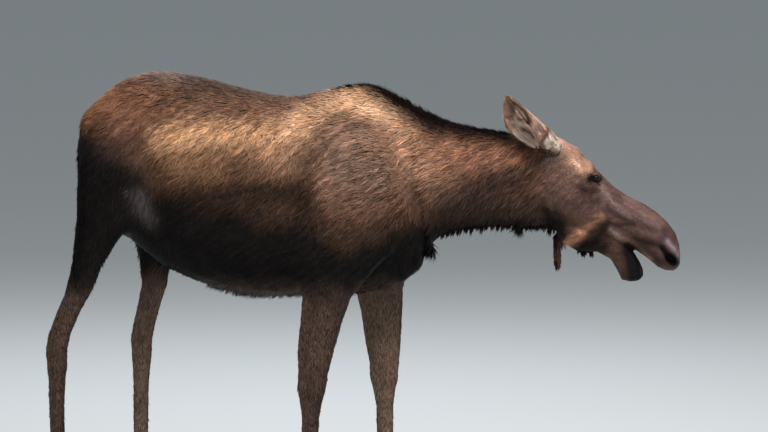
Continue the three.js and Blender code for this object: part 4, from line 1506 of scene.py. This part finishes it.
@dataclass
class Surface:
    """A mesh's points, normals and triangles, to grow tufts from."""

    points: np.ndarray
    normals: np.ndarray
    triangles: np.ndarray

    def scatter(self, density: np.ndarray, rng: np.random.Generator) -> tuple[np.ndarray, np.ndarray]:
        """Picks chance places, evenly spread.

        Args:
            density: how many to the square metre at each triangle.
            rng: picks them.

        Returns:
            The places, and the normals there.
        """
        a, b, c = (self.points[self.triangles[:, k]] for k in range(3))
        area = np.linalg.norm(np.cross(b - a, c - a), axis=1) / 2
        total = np.cumsum(area * density)
        marks = np.arange(int(total[-1])) + rng.uniform(0, 1, int(total[-1]))
        rows = np.minimum(np.searchsorted(total, marks), len(total) - 1)
        s, t = rng.uniform(0, 1, (2, len(rows)))
        flip = s + t > 1
        s, t = np.where(flip, 1 - s, s), np.where(flip, 1 - t, t)
        share = np.stack([1 - s - t, s, t], axis=1)
        corner = self.triangles[rows]
        place = np.einsum("nk,nkd->nd", share, self.points[corner])
        return place, unit(np.einsum("nk,nkd->nd", share, self.normals[corner]))

    def middles(self) -> np.ndarray:
        """The middle of each triangle."""
        return self.points[self.triangles].mean(axis=1)


# the nostril's tail and its opening, where no hair grows: its line and how wide it is bare
NOSTRIL = (
    (head_line((601, -24, 80), (640, -32, 78)), 0.007),
    (head_line((650, -33, 74), (677, -33, 64)), 0.015),
)


@dataclass
class Coat:
    """The short coat: blades that lie along the body, smallest on face and feet."""

    surface: Surface
    markings: Markings
    lids: list[Eyelid]
    ears: list[EarAxes]
    body_per_m2: float = 38000
    leg_per_m2: float = 34000
    face_per_m2: float = 140000
    body_mm: tuple[float, float] = (48, 5.6)
    neck_mm: tuple[float, float] = (56, 5.4)
    leg_mm: tuple[float, float] = (26, 4.6)
    foot_mm: tuple[float, float] = (15, 3.6)
    face_mm: tuple[float, float] = (15, 2.7)
    muzzle_mm: tuple[float, float] = (6.5, 2.0)
    cheek_mm: tuple[float, float] = (38, 4.4)
    length_spread: tuple[float, float] = (0.7, 1.25)
    width_spread: tuple[float, float] = (0.7, 1.3)
    stand: float = 0.13  # how far a tip stands off the skin, as a share of the length
    stand_stray: float = 0.045
    stand_limits: tuple[float, float] = (0.05, 0.3)
    seed: int = 7

    def zones(self, points: np.ndarray) -> tuple[np.ndarray, ...]:
        """How much each point is of the neck, leg, foot, face and muzzle.

        Args:
            points: places, one row each.

        Returns:
            A share from 0 to 1 for each point, five times.
        """
        along = HEAD.read(points)[:, 0]
        face = smooth(-60, 60, along) * smooth(0.7, 0.76, points[:, 0])
        muzzle = face * smooth(330, 560, along)
        neck = smooth(0.2, 0.4, points[:, 0]) * (1 - face)
        leg = smooth(1.05, 0.85, points[:, 2]) * (points[:, 0] < 0.5)
        return neck, leg, smooth(0.45, 0.12, points[:, 2]), face, muzzle

    def cheek(self, points: np.ndarray) -> np.ndarray:
        """How much each point is of the low, shaggy part of the cheek."""
        along, over = HEAD.read(points)[:, :2].T
        return smooth(-70, -150, over) * smooth(270, 130, along)

    def measure(self, points: np.ndarray) -> tuple[np.ndarray, np.ndarray]:
        """The length and width of the tuft at each point, in metres.

        Args:
            points: places, one row each.

        Returns:
            The lengths and the widths.
        """
        neck, leg, foot, face, muzzle = self.zones(points)
        size = np.repeat(np.array([self.body_mm], float), len(points), axis=0)
        for share, pair in (
            (neck, self.neck_mm),
            (leg, self.leg_mm),
            (foot, self.foot_mm),
            (face, self.face_mm),
            (muzzle, self.muzzle_mm),
            (self.cheek(points) * face, self.cheek_mm),
        ):
            size += (np.array(pair) - size) * share[:, None]
        return size[:, 0] * MM, size[:, 1] * MM

    def density(self, points: np.ndarray) -> np.ndarray:
        """Tufts to the square metre at each point; none in the eyes, the nostrils and the ears' cups.

        Args:
            points: places, one row each.

        Returns:
            One number a point.
        """
        _, leg, _, face, muzzle = self.zones(points)
        rate = self.body_per_m2 + (self.leg_per_m2 - self.body_per_m2) * leg
        rate = rate + (self.face_per_m2 - rate) * face
        rate = rate * (1 - muzzle * 0.3)
        right = on_right(points)
        for line, bare in NOSTRIL:
            rate = rate * smooth(bare, bare + 0.005, near_line(right, np.array(line)))
        for lid in self.lids:
            _, oval, outward = lid.opening(points)
            close = np.linalg.norm(points - lid.centre, axis=1) < lid.reach
            rate = np.where(close & (outward > 0), rate * smooth(1.15, 1.5, oval), rate)
        for ear in self.ears:
            rate = rate * ~ear.holds(points)
        return rate

    def grown(self) -> Tufts:
        """Every tuft of the short coat."""
        rng = np.random.default_rng(self.seed)
        root, normal = self.surface.scatter(self.density(self.surface.middles()), rng)
        lie = lie_at(root, normal, rng)
        length, width = self.measure(root)
        length *= rng.uniform(*self.length_spread, len(root))
        width *= rng.uniform(*self.width_spread, len(root))
        for ear in self.ears:
            away = np.linalg.norm(root - ear.root - ear.tipward * 0.03, axis=1)
            length *= 1 - 0.6 * smooth(0.1, 0.06, away)
        colour, wet = self.markings.read(root, normal)
        share = (self.stand + self.stand_stray * rng.normal(size=len(root))).clip(*self.stand_limits)
        stand = length * share * (1 - wet * 0.45)
        return Tufts(root, normal, lie, length, width, stand, colour, wet)


@dataclass(frozen=True)
class Bed:
    """One piece of the short coat: where its roots are, and which way it runs."""

    name: str
    low: tuple[float, float, float]
    high: tuple[float, float, float]
    axis: tuple[float, float, float]


BEDS = (
    Bed("coat_hindleg_right", (-2, -1, -1), (-0.4, 0, 0.98), (0.1, 0, 1)),
    Bed("coat_hindleg_left", (-2, 0, -1), (-0.4, 1, 0.98), (0.1, 0, 1)),
    Bed("coat_foreleg_right", (-0.4, -1, -1), (0.5, 0, 0.98), (0, 0, 1)),
    Bed("coat_foreleg_left", (-0.4, 0, -1), (0.5, 1, 0.98), (0, 0, 1)),
    Bed("coat_rump_right", (-2, -1, 0.98), (-0.7, 0, 3), (1, 0, 0)),
    Bed("coat_rump_left", (-2, 0, 0.98), (-0.7, 1, 3), (1, 0, 0)),
    Bed("coat_barrel_right", (-0.7, -1, 0.98), (-0.2, 0, 3), (1, 0, 0)),
    Bed("coat_barrel_left", (-0.7, 0, 0.98), (-0.2, 1, 3), (1, 0, 0)),
    Bed("coat_shoulder_right", (-0.2, -1, 0.98), (0.3, 0, 3), (1, 0, 0)),
    Bed("coat_shoulder_left", (-0.2, 0, 0.98), (0.3, 1, 3), (1, 0, 0)),
    Bed("coat_neck", (0.3, -1, 0.9), (0.74, 1, 3), (1, 0, -0.1)),
    Bed("coat_head_right", (0.74, -1, 0.5), (3, 0, 3), (0.713, 0, -0.701)),
    Bed("coat_head_left", (0.74, 0, 0.5), (3, 1, 3), (0.713, 0, -0.701)),
)


def along_line(
    line: tuple[tuple[float, float, float], ...], count: int, rng: np.random.Generator
) -> np.ndarray:
    """Picks chance places along a line.

    Args:
        line: the ends of its straight pieces.
        count: how many places.
        rng: picks them.

    Returns:
        The places, one row each.
    """
    stations = np.array(line, float)
    run = np.r_[0, np.cumsum(np.linalg.norm(np.diff(stations, axis=0), axis=1))]
    t = rng.uniform(0, run[-1], count)
    return np.stack([np.interp(t, run, stations[:, k]) for k in range(3)], axis=1)


# how steeply the crest's hair stands: x and rise
CREST_SLOPE = np.array(
    [(-0.15, -0.05), (0.0, 0.3), (0.06, 0.75), (0.12, 1.3), (0.2, 1.5), (0.3, 1.2), (0.4, 0.85), (0.6, 0.7)]
)


@dataclass
class LongHair:
    """The hair that stands or hangs: crest, throat, belly, bell and tail."""

    surface: BVHTree
    markings: Markings
    crest: int = 3600
    throat: int = 1500
    jaw: int = 220
    belly: int = 700
    bell: int = 520
    tail: int = 700
    throat_points: int = 40
    dark: str = "#151010"
    crest_tint: str = "#1a1310"
    belly_tint: str = "#14100f"
    bell_tints: tuple[str, str] = ("#573d35", "#191414")  # before and behind
    tail_tint: str = "#2c211c"
    seed: int = 17

    def rooted(self, guess: np.ndarray, above: float) -> tuple[np.ndarray, np.ndarray]:
        """Finds places on the skin.

        Args:
            guess: where they about are.
            above: 1 looks for the skin below the guess, -1 above it, and 0 takes the nearest.

        Returns:
            The places, and the way the skin faces there.
        """
        found = []
        for place in guess:
            hit = (None,)
            if above:
                hit = self.surface.ray_cast(Vector(place + UP * 0.4 * above), Vector(-UP * above))
            found.append(hit if hit[0] else self.surface.find_nearest(Vector(place)))
        return np.array([tuple(f[0]) for f in found]), np.array([tuple(f[1]) for f in found])

    def make(
        self,
        guess: np.ndarray,
        way: np.ndarray,
        length: np.ndarray,
        width: float,
        stand: float,
        fall: float,
        tint: str,
        above: float = 0.0,
    ) -> Tufts:
        """Tufts from places near the skin.

        Args:
            guess: where they about start.
            way: the way they point.
            length: each tuft's length.
            width: their width.
            stand: how far they lean off the skin, as a share of the length.
            fall: how much they droop.
            tint: their colour as hex.
            above: 1 looks for the skin below the guess, -1 above it, and 0 takes the nearest.

        Returns:
            The tufts.
        """
        root, normal = self.rooted(guess, above)
        lie = unit(np.broadcast_to(way, root.shape) + 1e-6)
        colour = np.repeat(linear(tint)[None], len(root), axis=0)
        _, wet = self.markings.read(root, normal)
        size = np.full(len(root), width)
        return Tufts(root, normal, lie, length, size, length * stand, colour, wet, fall)

    def crest_hair(self, rng: np.random.Generator) -> Tufts:
        """A dark ridge of longer hair from the hump to the poll.

        Args:
            rng: picks chance values.

        Returns:
            The tufts.
        """
        guess = along_line(CREST, self.crest, rng) + rng.normal(0, 1, (self.crest, 3)) * [0, 0.022, 0]
        length = rng.uniform(0.03, 0.055, self.crest) * (1 - np.abs(guess[:, 1]) * 9).clip(0.4, 1)
        length *= 0.45 + 0.55 * smooth(-0.16, 0.0, guess[:, 0])
        length *= 0.3 + 0.7 * smooth(0.66, 0.56, guess[:, 0])
        way = unit(np.array([-1.0, 0, -0.1]) + rng.normal(0, 0.09, (self.crest, 3)))
        length *= 1 + 0.25 * smooth(0.06, 0.12, guess[:, 0]) * smooth(0.36, 0.26, guess[:, 0])
        slope = np.interp(guess[:, 0], CREST_SLOPE[:, 0], CREST_SLOPE[:, 1])
        way = unit(way + slope[:, None] * UP)
        return self.make(guess, way, length, 0.0042, 0.08, 0.03, self.crest_tint, 1.0)

    def throat_hair(self, rng: np.random.Generator) -> Tufts:
        """Wet strands that hang under neck and throat in points.

        Args:
            rng: picks chance values.

        Returns:
            The tufts.
        """
        line = ((0.31, 0, 1.1), (0.45, 0, 1.12), (0.62, 0, 1.12), (0.765, 0, 1.1))
        guess = along_line(line, self.throat, rng) + rng.normal(0, 1, (self.throat, 3)) * [0, 0.03, 0.0]
        marks = np.cumsum(rng.uniform(0.012, 0.03, self.throat_points)) + 0.22
        nearest = np.abs(guess[:, :1] - marks[None]).argmin(axis=1)
        clump = marks[nearest]
        reach = rng.uniform(0.55, 1.0, self.throat_points)[nearest]
        pull = (clump - guess[:, 0]) * 18 + rng.normal(0, 0.06, self.throat)
        way = unit(np.stack([-0.2 + pull, -guess[:, 1] * 8, np.full(self.throat, -1.0)], axis=1))
        length = 0.052 * reach * rng.uniform(0.6, 1.1, self.throat)
        length *= 0.45 + 0.55 * smooth(0.31, 0.42, guess[:, 0])
        return self.make(guess, way, length, 0.0036, 0.0, 0.08, self.dark, -1.0)

    def jaw_hair(self, rng: np.random.Generator) -> Tufts:
        """Wet points that hang from the angle of the jaw.

        Args:
            rng: picks chance values.

        Returns:
            The tufts.
        """
        line = (tuple(HEAD.at(366, -262)), tuple(HEAD.at(396, -258)), tuple(HEAD.at(424, -232)))
        guess = along_line(line, self.jaw, rng) + rng.normal(0, 0.012, (self.jaw, 3)) * [0, 1, 0]
        drop = 0.5 + 0.5 * np.cos((guess[:, 0] - line[1][0]) * 190)
        stray = rng.normal(0, 0.12, self.jaw)
        way = unit(np.stack([stray, -guess[:, 1] * 12, np.full(self.jaw, -1.0)], axis=1))
        length = 0.008 + 0.026 * drop * rng.uniform(0.6, 1, self.jaw)
        return self.make(guess, way, length, 0.0034, 0.0, 0.0, self.dark, -1.0)

    def belly_hair(self, rng: np.random.Generator) -> Tufts:
        """A short wet fringe under the belly.

        Args:
            rng: picks chance values.

        Returns:
            The tufts.
        """
        line = ((-0.62, 0, 0.95), (-0.3, 0, 0.9), (0.1, 0, 0.95))
        guess = along_line(line, self.belly, rng) + rng.normal(0, 1, (self.belly, 3)) * [0, 0.05, 0]
        way = unit(np.array([-0.7, 0, -0.8]) + rng.normal(0, 0.12, (self.belly, 3)))
        length = rng.uniform(0.014, 0.028, self.belly)
        return self.make(guess, way, length, 0.0036, 0.0, 0.1, self.belly_tint, -1.0)

    def bell_hair(self, rng: np.random.Generator) -> Tufts:
        """Rusty wet hair down the bell, drawn to its tip.

        Args:
            rng: picks chance values.

        Returns:
            The tufts.
        """
        low, high = (np.array(corner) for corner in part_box("dewlap"))
        middle = (low + high) / 2
        t = rng.uniform(0, 1, self.bell) ** 0.8
        height = high[2] - (high[2] - low[2]) * t
        guess = np.stack([np.full(self.bell, middle[0]), np.zeros(self.bell), height], axis=1)
        guess[:, :2] += rng.normal(0, 0.012, (self.bell, 2))
        way = unit(np.array([0.02, 0, -1.0]) + rng.normal(0, 0.07, (self.bell, 3)))
        length = rng.uniform(0.018, 0.04, self.bell) * (1 - t * 0.15)
        before, behind = self.bell_tints
        made = self.make(guess, way, length, 0.0036, 0.04, 0.0, before)
        made.colour[guess[:, 0] < middle[0] - 0.002] = linear(behind)
        return made

    def tail_hair(self, rng: np.random.Generator) -> Tufts:
        """The stub of a tail, dark above.

        Args:
            rng: picks chance values.

        Returns:
            The tufts.
        """
        low, high = (np.array(corner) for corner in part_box("tail"))
        middle = (low + high) / 2
        guess = middle + rng.uniform(-0.5, 0.5, (self.tail, 3)) * (high - low)
        guess[:, 0] = low[0]
        way = unit(np.array([-0.12, 0, -1.0]) + rng.normal(0, 0.1, (self.tail, 3)))
        return self.make(guess, way, rng.uniform(0.03, 0.05, self.tail), 0.004, 0.05, 0.0, self.tail_tint)


@dataclass
class EarHair:
    """Fine hair on both ears: short outside, long and pale in the cup."""

    surface: Surface
    markings: Markings
    ears: list[EarAxes]
    per_m2: float = 150000
    outside: float = 0.0115
    cup_more: float = 0.0105  # what the cup's hair has on the outside's
    width: float = 0.0025
    spread: tuple[float, float] = (0.7, 1.3)
    seed: int = 9

    def grown(self) -> Tufts:
        """Blades on both faces of both ears."""
        rng = np.random.default_rng(self.seed)
        held = np.any([ear.holds(self.surface.middles()) for ear in self.ears], axis=0)
        root, normal = self.surface.scatter(held * self.per_m2, rng)
        kept = []
        for ear in self.ears:
            rows = np.nonzero(root[:, 1] * ear.side > 0)[0]
            p, n = root[rows], normal[rows]
            t, _, cup = ear.read(p, n)
            way = ear.tipward + rng.normal(0, 0.16, p.shape)
            lie = unit(way - n * np.sum(way * n, axis=1, keepdims=True))
            length = (self.outside + self.cup_more * cup) * rng.uniform(*self.spread, len(rows))
            length *= 1 - 0.35 * smooth(0.18, 0.28, t)
            colour, wet = self.markings.read_ear(p, n, ear)
            stand = length * (0.09 + 0.1 * cup)
            width = self.width * rng.uniform(*self.spread, len(rows))
            kept.append(Tufts(p, n, lie, length, width, stand, colour, wet))
        names = [name for name in vars(kept[0]) if name != "fall"]
        return Tufts(**{name: np.concatenate([getattr(k, name) for k in kept]) for name in names})


# ---------------------------------------------------------------- eyes and feet


@dataclass(frozen=True)
class EyeFinish:
    """A wet dark eye: brown iris, long level pupil, and a clear coat that holds one sharp glint."""

    name: str = "wet_dark_eye"
    iris: str = "#1a0f0b"
    pupil: str = "#050506"
    rim: str = "#0e0a0a"

    def make(self) -> bpy.types.Material:
        """Builds the material."""
        material, tree = blank(self.name)
        zone = add_node(tree, "ShaderNodeAttribute", attribute_name=Attribute.EYE_PLACE.value)
        split = add_node(tree, "ShaderNodeSeparateXYZ", {0: zone.outputs["Vector"]})
        wide = add_node(tree, "ShaderNodeMath", {0: split.outputs["X"], 1: 0.62}, operation="MULTIPLY")
        flat = add_node(tree, "ShaderNodeCombineXYZ", {"X": wide.outputs[0], "Y": split.outputs["Y"]})
        away = add_node(tree, "ShaderNodeVectorMath", {0: flat.outputs[0]}, operation="LENGTH")
        fibre = add_node(
            tree, "ShaderNodeTexNoise", {"Vector": zone.outputs["Vector"], "Scale": 9.0, "Detail": 4.0}
        )
        ramp = add_node(tree, "ShaderNodeValToRGB", {"Fac": away.outputs["Value"]})
        ramp.color_ramp.elements[0].color = (*linear(self.pupil), 1)
        ramp.color_ramp.elements[0].position = 0.24
        ramp.color_ramp.elements[1].color = (*linear(self.rim), 1)
        ramp.color_ramp.elements[1].position = 0.72
        ring = ramp.color_ramp.elements.new(0.34)
        ring.color = (*linear(self.iris), 1)
        tinted = add_node(
            tree,
            "ShaderNodeVectorMath",
            {0: ramp.outputs["Color"], "Scale": fibre.outputs["Fac"]},
            operation="SCALE",
        )
        shader = add_node(
            tree,
            "ShaderNodeBsdfPrincipled",
            {
                "Base Color": tinted.outputs[0],
                "Roughness": 0.16,
                "IOR": 1.26,
                "Coat Weight": 0.2,
                "Coat Roughness": 0.04,
            },
        )
        add_node(tree, "ShaderNodeOutputMaterial", {"Surface": shader.outputs["BSDF"]})
        return material


@dataclass
class Eye:
    """One eyeball with its bulging clear front."""

    lid: Eyelid
    bulge: float = 0.0016
    bulge_turn: float = 0.62  # how far round the ball it reaches, in radians
    segments: int = 40
    rings: int = 24

    def build(self, name: str) -> bpy.types.Object:
        """Makes the ball in place.

        Args:
            name: the ball's name.

        Returns:
            The ball.
        """
        rest_selection()
        bpy.ops.mesh.primitive_uv_sphere_add(
            segments=self.segments, ring_count=self.rings, radius=self.lid.ball
        )
        piece = bpy.context.active_object
        piece.name = name
        local = points_of(piece.data)
        part = unit(local)
        lens = np.exp(-((np.arccos(np.clip(part[:, 2], -1, 1)) / self.bulge_turn) ** 2))
        local += part * (self.bulge * lens)[:, None]
        forward, upward, outward = self.lid.axes()
        turned = local[:, :1] * forward + local[:, 1:2] * upward + local[:, 2:] * outward
        handed = np.cross(forward, upward) @ outward
        if handed < 0:
            piece.data.flip_normals()
        place_points(piece.data, turned + self.lid.centre)
        place = piece.data.attributes.new(Attribute.EYE_PLACE.value, "FLOAT_VECTOR", "POINT")
        place.data.foreach_set("vector", (local / self.lid.ball).astype(np.float32).ravel())
        shade_smooth(piece.data)
        return piece

    def dress(self, piece: bpy.types.Object, material: bpy.types.Material) -> None:
        """Gives the ball its finish."""
        piece.data.materials.append(material)


@dataclass
class Foot:
    """The two hooves and two dewclaws of one leg, worn soft at their edges."""

    leg: str
    voxel: float = 0.0024
    rounds: int = 7
    triangles: int = 9000
    ring_run: float = 0.0045  # the growth rings' spacing, over a full turn
    ring_depth: float = 0.00035
    sole: float = 0.0014  # what lies so near the ground is laid flat on it

    def node_names(self) -> list[str]:
        """The nodes that this foot stands for."""
        return [f"{self.leg}_{part}_{side}" for part in ("hoof", "dewclaw") for side in ("right", "left")]

    def build(self, nodes: dict[str, bpy.types.Object]) -> bpy.types.Object:
        """Makes the foot in place from its nodes.

        Args:
            nodes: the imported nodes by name.

        Returns:
            The foot.
        """
        piece = copy_of([nodes[name] for name in self.node_names()], f"hooves_{self.leg}")
        floor = points_of(piece.data)[:, 2].min()
        fused(piece, self.voxel)
        relaxed(piece.data, self.rounds)
        points, normals = points_of(piece.data), normals_of(piece.data)
        rings = np.sin(points[:, 2] / self.ring_run) * self.ring_depth * (np.abs(normals[:, 2]) < 0.8)
        points += normals * rings[:, None]
        points[:, 2] = np.where(points[:, 2] < floor + self.sole, floor, points[:, 2])
        place_points(piece.data, points)
        thinned(piece, min(1.0, self.triangles / (2 * len(piece.data.polygons))))
        shade_smooth(piece.data)
        return piece

    def dress(self, piece: bpy.types.Object, material: bpy.types.Material) -> None:
        """Gives the foot its horn."""
        piece.data.materials.append(material)


# ---------------------------------------------------------------- studio


@dataclass(frozen=True)
class Studio:
    """The camera, the pale floor and the soft lights."""

    target: tuple[float, float, float] = (0.0823, 0.0, 1.203)
    distance: float = 25.0
    elevation: float = math.radians(6)
    width: float = 3.072
    sensor: float = 36
    floor_colour: str = "#c6cac8"
    sky: tuple[float, float, float, float] = (0.78, 0.84, 0.9, 1)
    sky_strength: float = 0.4

    def camera(self) -> None:
        """A long lens from her right side, a little above."""
        data = bpy.data.cameras.new("camera")
        data.sensor_width = self.sensor
        data.lens = self.sensor * self.distance / self.width
        data.clip_end = 400
        eye = bpy.data.objects.new("camera", data)
        away = Vector((0, -math.cos(self.elevation), math.sin(self.elevation)))
        eye.location = Vector(self.target) + away * self.distance
        eye.rotation_euler = (-away).to_track_quat("-Z", "Y").to_euler()
        bpy.context.scene.collection.objects.link(eye)
        bpy.context.scene.camera = eye

    def floor(self) -> None:
        """A wide plain floor."""
        rest_selection()
        bpy.ops.mesh.primitive_plane_add(size=140)
        floor = bpy.context.active_object
        floor.name = "studio_floor"
        material = bpy.data.materials.new("matt_studio_floor")
        material.use_nodes = True
        shader = material.node_tree.nodes["Principled BSDF"]
        shader.inputs["Base Color"].default_value = (*linear(self.floor_colour), 1)
        shader.inputs["Roughness"].default_value = 0.9
        shader.inputs["Specular IOR Level"].default_value = 0.1
        floor.data.materials.append(material)

    def lamp(
        self, name: str, place: tuple[float, float, float], size: float, power: float, tint: str
    ) -> None:
        """Adds one square soft light that faces her.

        Args:
            name: its name.
            place: where it hangs.
            size: the length of its side.
            power: its strength in watts.
            tint: its colour as hex.
        """
        data = bpy.data.lights.new(name, "AREA")
        data.shape = "SQUARE"
        data.size = size
        data.energy = power
        data.color = tuple(linear(tint))
        lamp = bpy.data.objects.new(name, data)
        lamp.location = place
        lamp.rotation_euler = (Vector((0, 0, 1.3)) - Vector(place)).to_track_quat("-Z", "Y").to_euler()
        bpy.context.scene.collection.objects.link(lamp)

    def light(self) -> None:
        """High soft light from above and a little in front, with an open sky round it."""
        self.lamp("key", (1.6, -3.4, 6.8), 3.2, 600, "#fff6f3")
        self.lamp("back", (-0.5, 4.5, 5.5), 3.0, 240, "#eef4ff")
        world = bpy.data.worlds.new("sky")
        world.use_nodes = True
        sky = world.node_tree.nodes["Background"]
        sky.inputs["Color"].default_value = self.sky
        sky.inputs["Strength"].default_value = self.sky_strength
        bpy.context.scene.world = world
        bpy.context.scene.view_settings.view_transform = "Standard"


# ---------------------------------------------------------------- the whole


FLESH = ("trunk", "neck", "head", "lower_jaw", "dewlap", "tail", "ear_right", "ear_left")
FLESH += tuple(leg + part for leg in LEGS for part in ("_upper", "_lower"))


@dataclass
class Moose:
    """The whole animal: skin, coat, eyes and feet."""

    nodes: dict[str, bpy.types.Object]
    markings: Markings = field(default_factory=Markings)

    def lids(self) -> list[Eyelid]:
        """Both eyes' lids, from the eye nodes."""
        found = []
        for side, word in ((RIGHT, "right"), (LEFT, "left")):
            low, high = (np.array(corner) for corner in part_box(f"eye_{word}"))
            found.append(Eyelid(side, (low + high) / 2, (high[0] - low[0]) / 2))
        return found

    def ears(self, builder: Skin) -> list[EarAxes]:
        """Both ears' axes.

        Args:
            builder: the skin's builder, after its build.

        Returns:
            The right ear's and the left's.
        """
        along, over, across = builder.ear_root
        surface = BVHTree.FromPolygons(builder.ear_points.tolist(), builder.ear_triangles.tolist())
        return [EarAxes(side, HEAD.at(along, over, side * across), surface) for side in (RIGHT, LEFT)]

    def place(self, piece: bpy.types.Object, slot: str, replaced: tuple[str, ...] = ()) -> None:
        """Hands one finished piece to the frame.

        Args:
            piece: the piece.
            slot: the slot of its finish; not used.
            replaced: the nodes that it stands for.
        """
        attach(piece, "root")
        if replaced:
            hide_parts(*replaced)
        LOG.info("%s: %d faces", piece.name, len(piece.data.polygons))

    def paint_skin(self, skin: bpy.types.Object, ears: list[EarAxes]) -> None:
        """Gives the skin the coat's markings, darker where long hair shades it.

        Args:
            skin: the skin.
            ears: both ears' axes.
        """
        points, normals = points_of(skin.data), normals_of(skin.data)
        colour, wet = self.markings.read(points, normals)
        for ear in ears:
            on = ear.holds(points)
            own, _ = self.markings.read_ear(points[on], normals[on], ear)
            colour[on] = own
        along = HEAD.read(points)[:, 0]
        face = smooth(-20, 260, along) * smooth(0.72, 0.8, points[:, 0])
        dress_points(skin.data, colour * (0.42 + 0.53 * face)[:, None], wet)

    def build(self) -> None:
        """Builds, dresses and places every piece."""
        lids = self.lids()
        builder = Skin(self.nodes, lids=lids)
        skin = builder.build()
        ears = self.ears(builder)
        self.paint_skin(skin, ears)
        skin.data.materials.append(HairFinish("hide_under_short_hair", strand_mm=2.2, bump_mm=0.7).make())
        self.place(skin, "body_coat", FLESH)
        self.coat(skin, lids, ears)
        eye_finish = EyeFinish().make()
        for lid, word in zip(lids, ("right", "left")):
            eye = Eye(lid)
            ball = eye.build(f"eyeball_{word}")
            eye.dress(ball, eye_finish)
            self.place(ball, "eye", (f"eye_{word}",))
        horn = HornFinish().make()
        for leg in LEGS:
            foot = Foot(leg)
            piece = foot.build(self.nodes)
            foot.dress(piece, horn)
            self.place(piece, "horn", tuple(foot.node_names()))

    def coat(self, skin: bpy.types.Object, lids: list[Eyelid], ears: list[EarAxes]) -> None:
        """Grows the short coat in its beds, then the long hair and the ears' hair.

        Args:
            skin: the skin.
            lids: both eyes' lids.
            ears: both ears' axes.
        """
        hair = HairFinish("guard_hair").make()
        surface = Surface(points_of(skin.data), normals_of(skin.data), triangles_of(skin.data))
        tufts = Coat(surface, self.markings, lids, ears).grown()
        left = np.ones(len(tufts.root), bool)
        for number, bed in enumerate(BEDS):
            inside = left & np.all((tufts.root >= bed.low) & (tufts.root < bed.high), axis=1)
            left &= ~inside
            held = tufts.pick(np.nonzero(inside)[0])
            piece = grow(bed.name, held, Lock.BLADE, np.array(bed.axis), hair, BED_SEED + number)
            slot = "leg_coat" if "leg" in bed.name else "face_coat" if "head" in bed.name else "body_coat"
            self.place(piece, slot)
        LOG.info("tufts in no bed: %d", left.sum())
        ear_tufts = EarHair(surface, self.markings, ears).grown()
        piece = grow("ear_hair", ear_tufts, Lock.BLADE, ears[0].tipward, hair, EAR_SEED)
        self.place(piece, "ear_coat")
        tree = BVHTree.FromPolygons(surface.points.tolist(), surface.triangles.tolist())
        long_hair = LongHair(tree, self.markings)
        rng = np.random.default_rng(long_hair.seed)
        for name, made, slot in (
            ("crest_hair", long_hair.crest_hair(rng), "body_coat"),
            ("throat_hair", long_hair.throat_hair(rng), "dark_coat"),
            ("jaw_hair", long_hair.jaw_hair(rng), "dark_coat"),
            ("belly_hair", long_hair.belly_hair(rng), "body_coat"),
            ("bell_hair", long_hair.bell_hair(rng), "dark_coat"),
            ("tail_hair", long_hair.tail_hair(rng), "body_coat"),
        ):
            piece = grow(name, made, Lock.ROUND, np.array([1.0, 0, 0.02]), hair, LONG_SEED)
            self.place(piece, slot)


def main() -> None:
    """Builds the animal and the studio."""
    logging.basicConfig(level=logging.INFO, format="%(message)s")
    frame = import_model()
    studio = Studio()
    studio.camera()
    studio.floor()
    studio.light()
    Moose(frame["nodes"]).build()


if __name__ == "__main__":
    main()
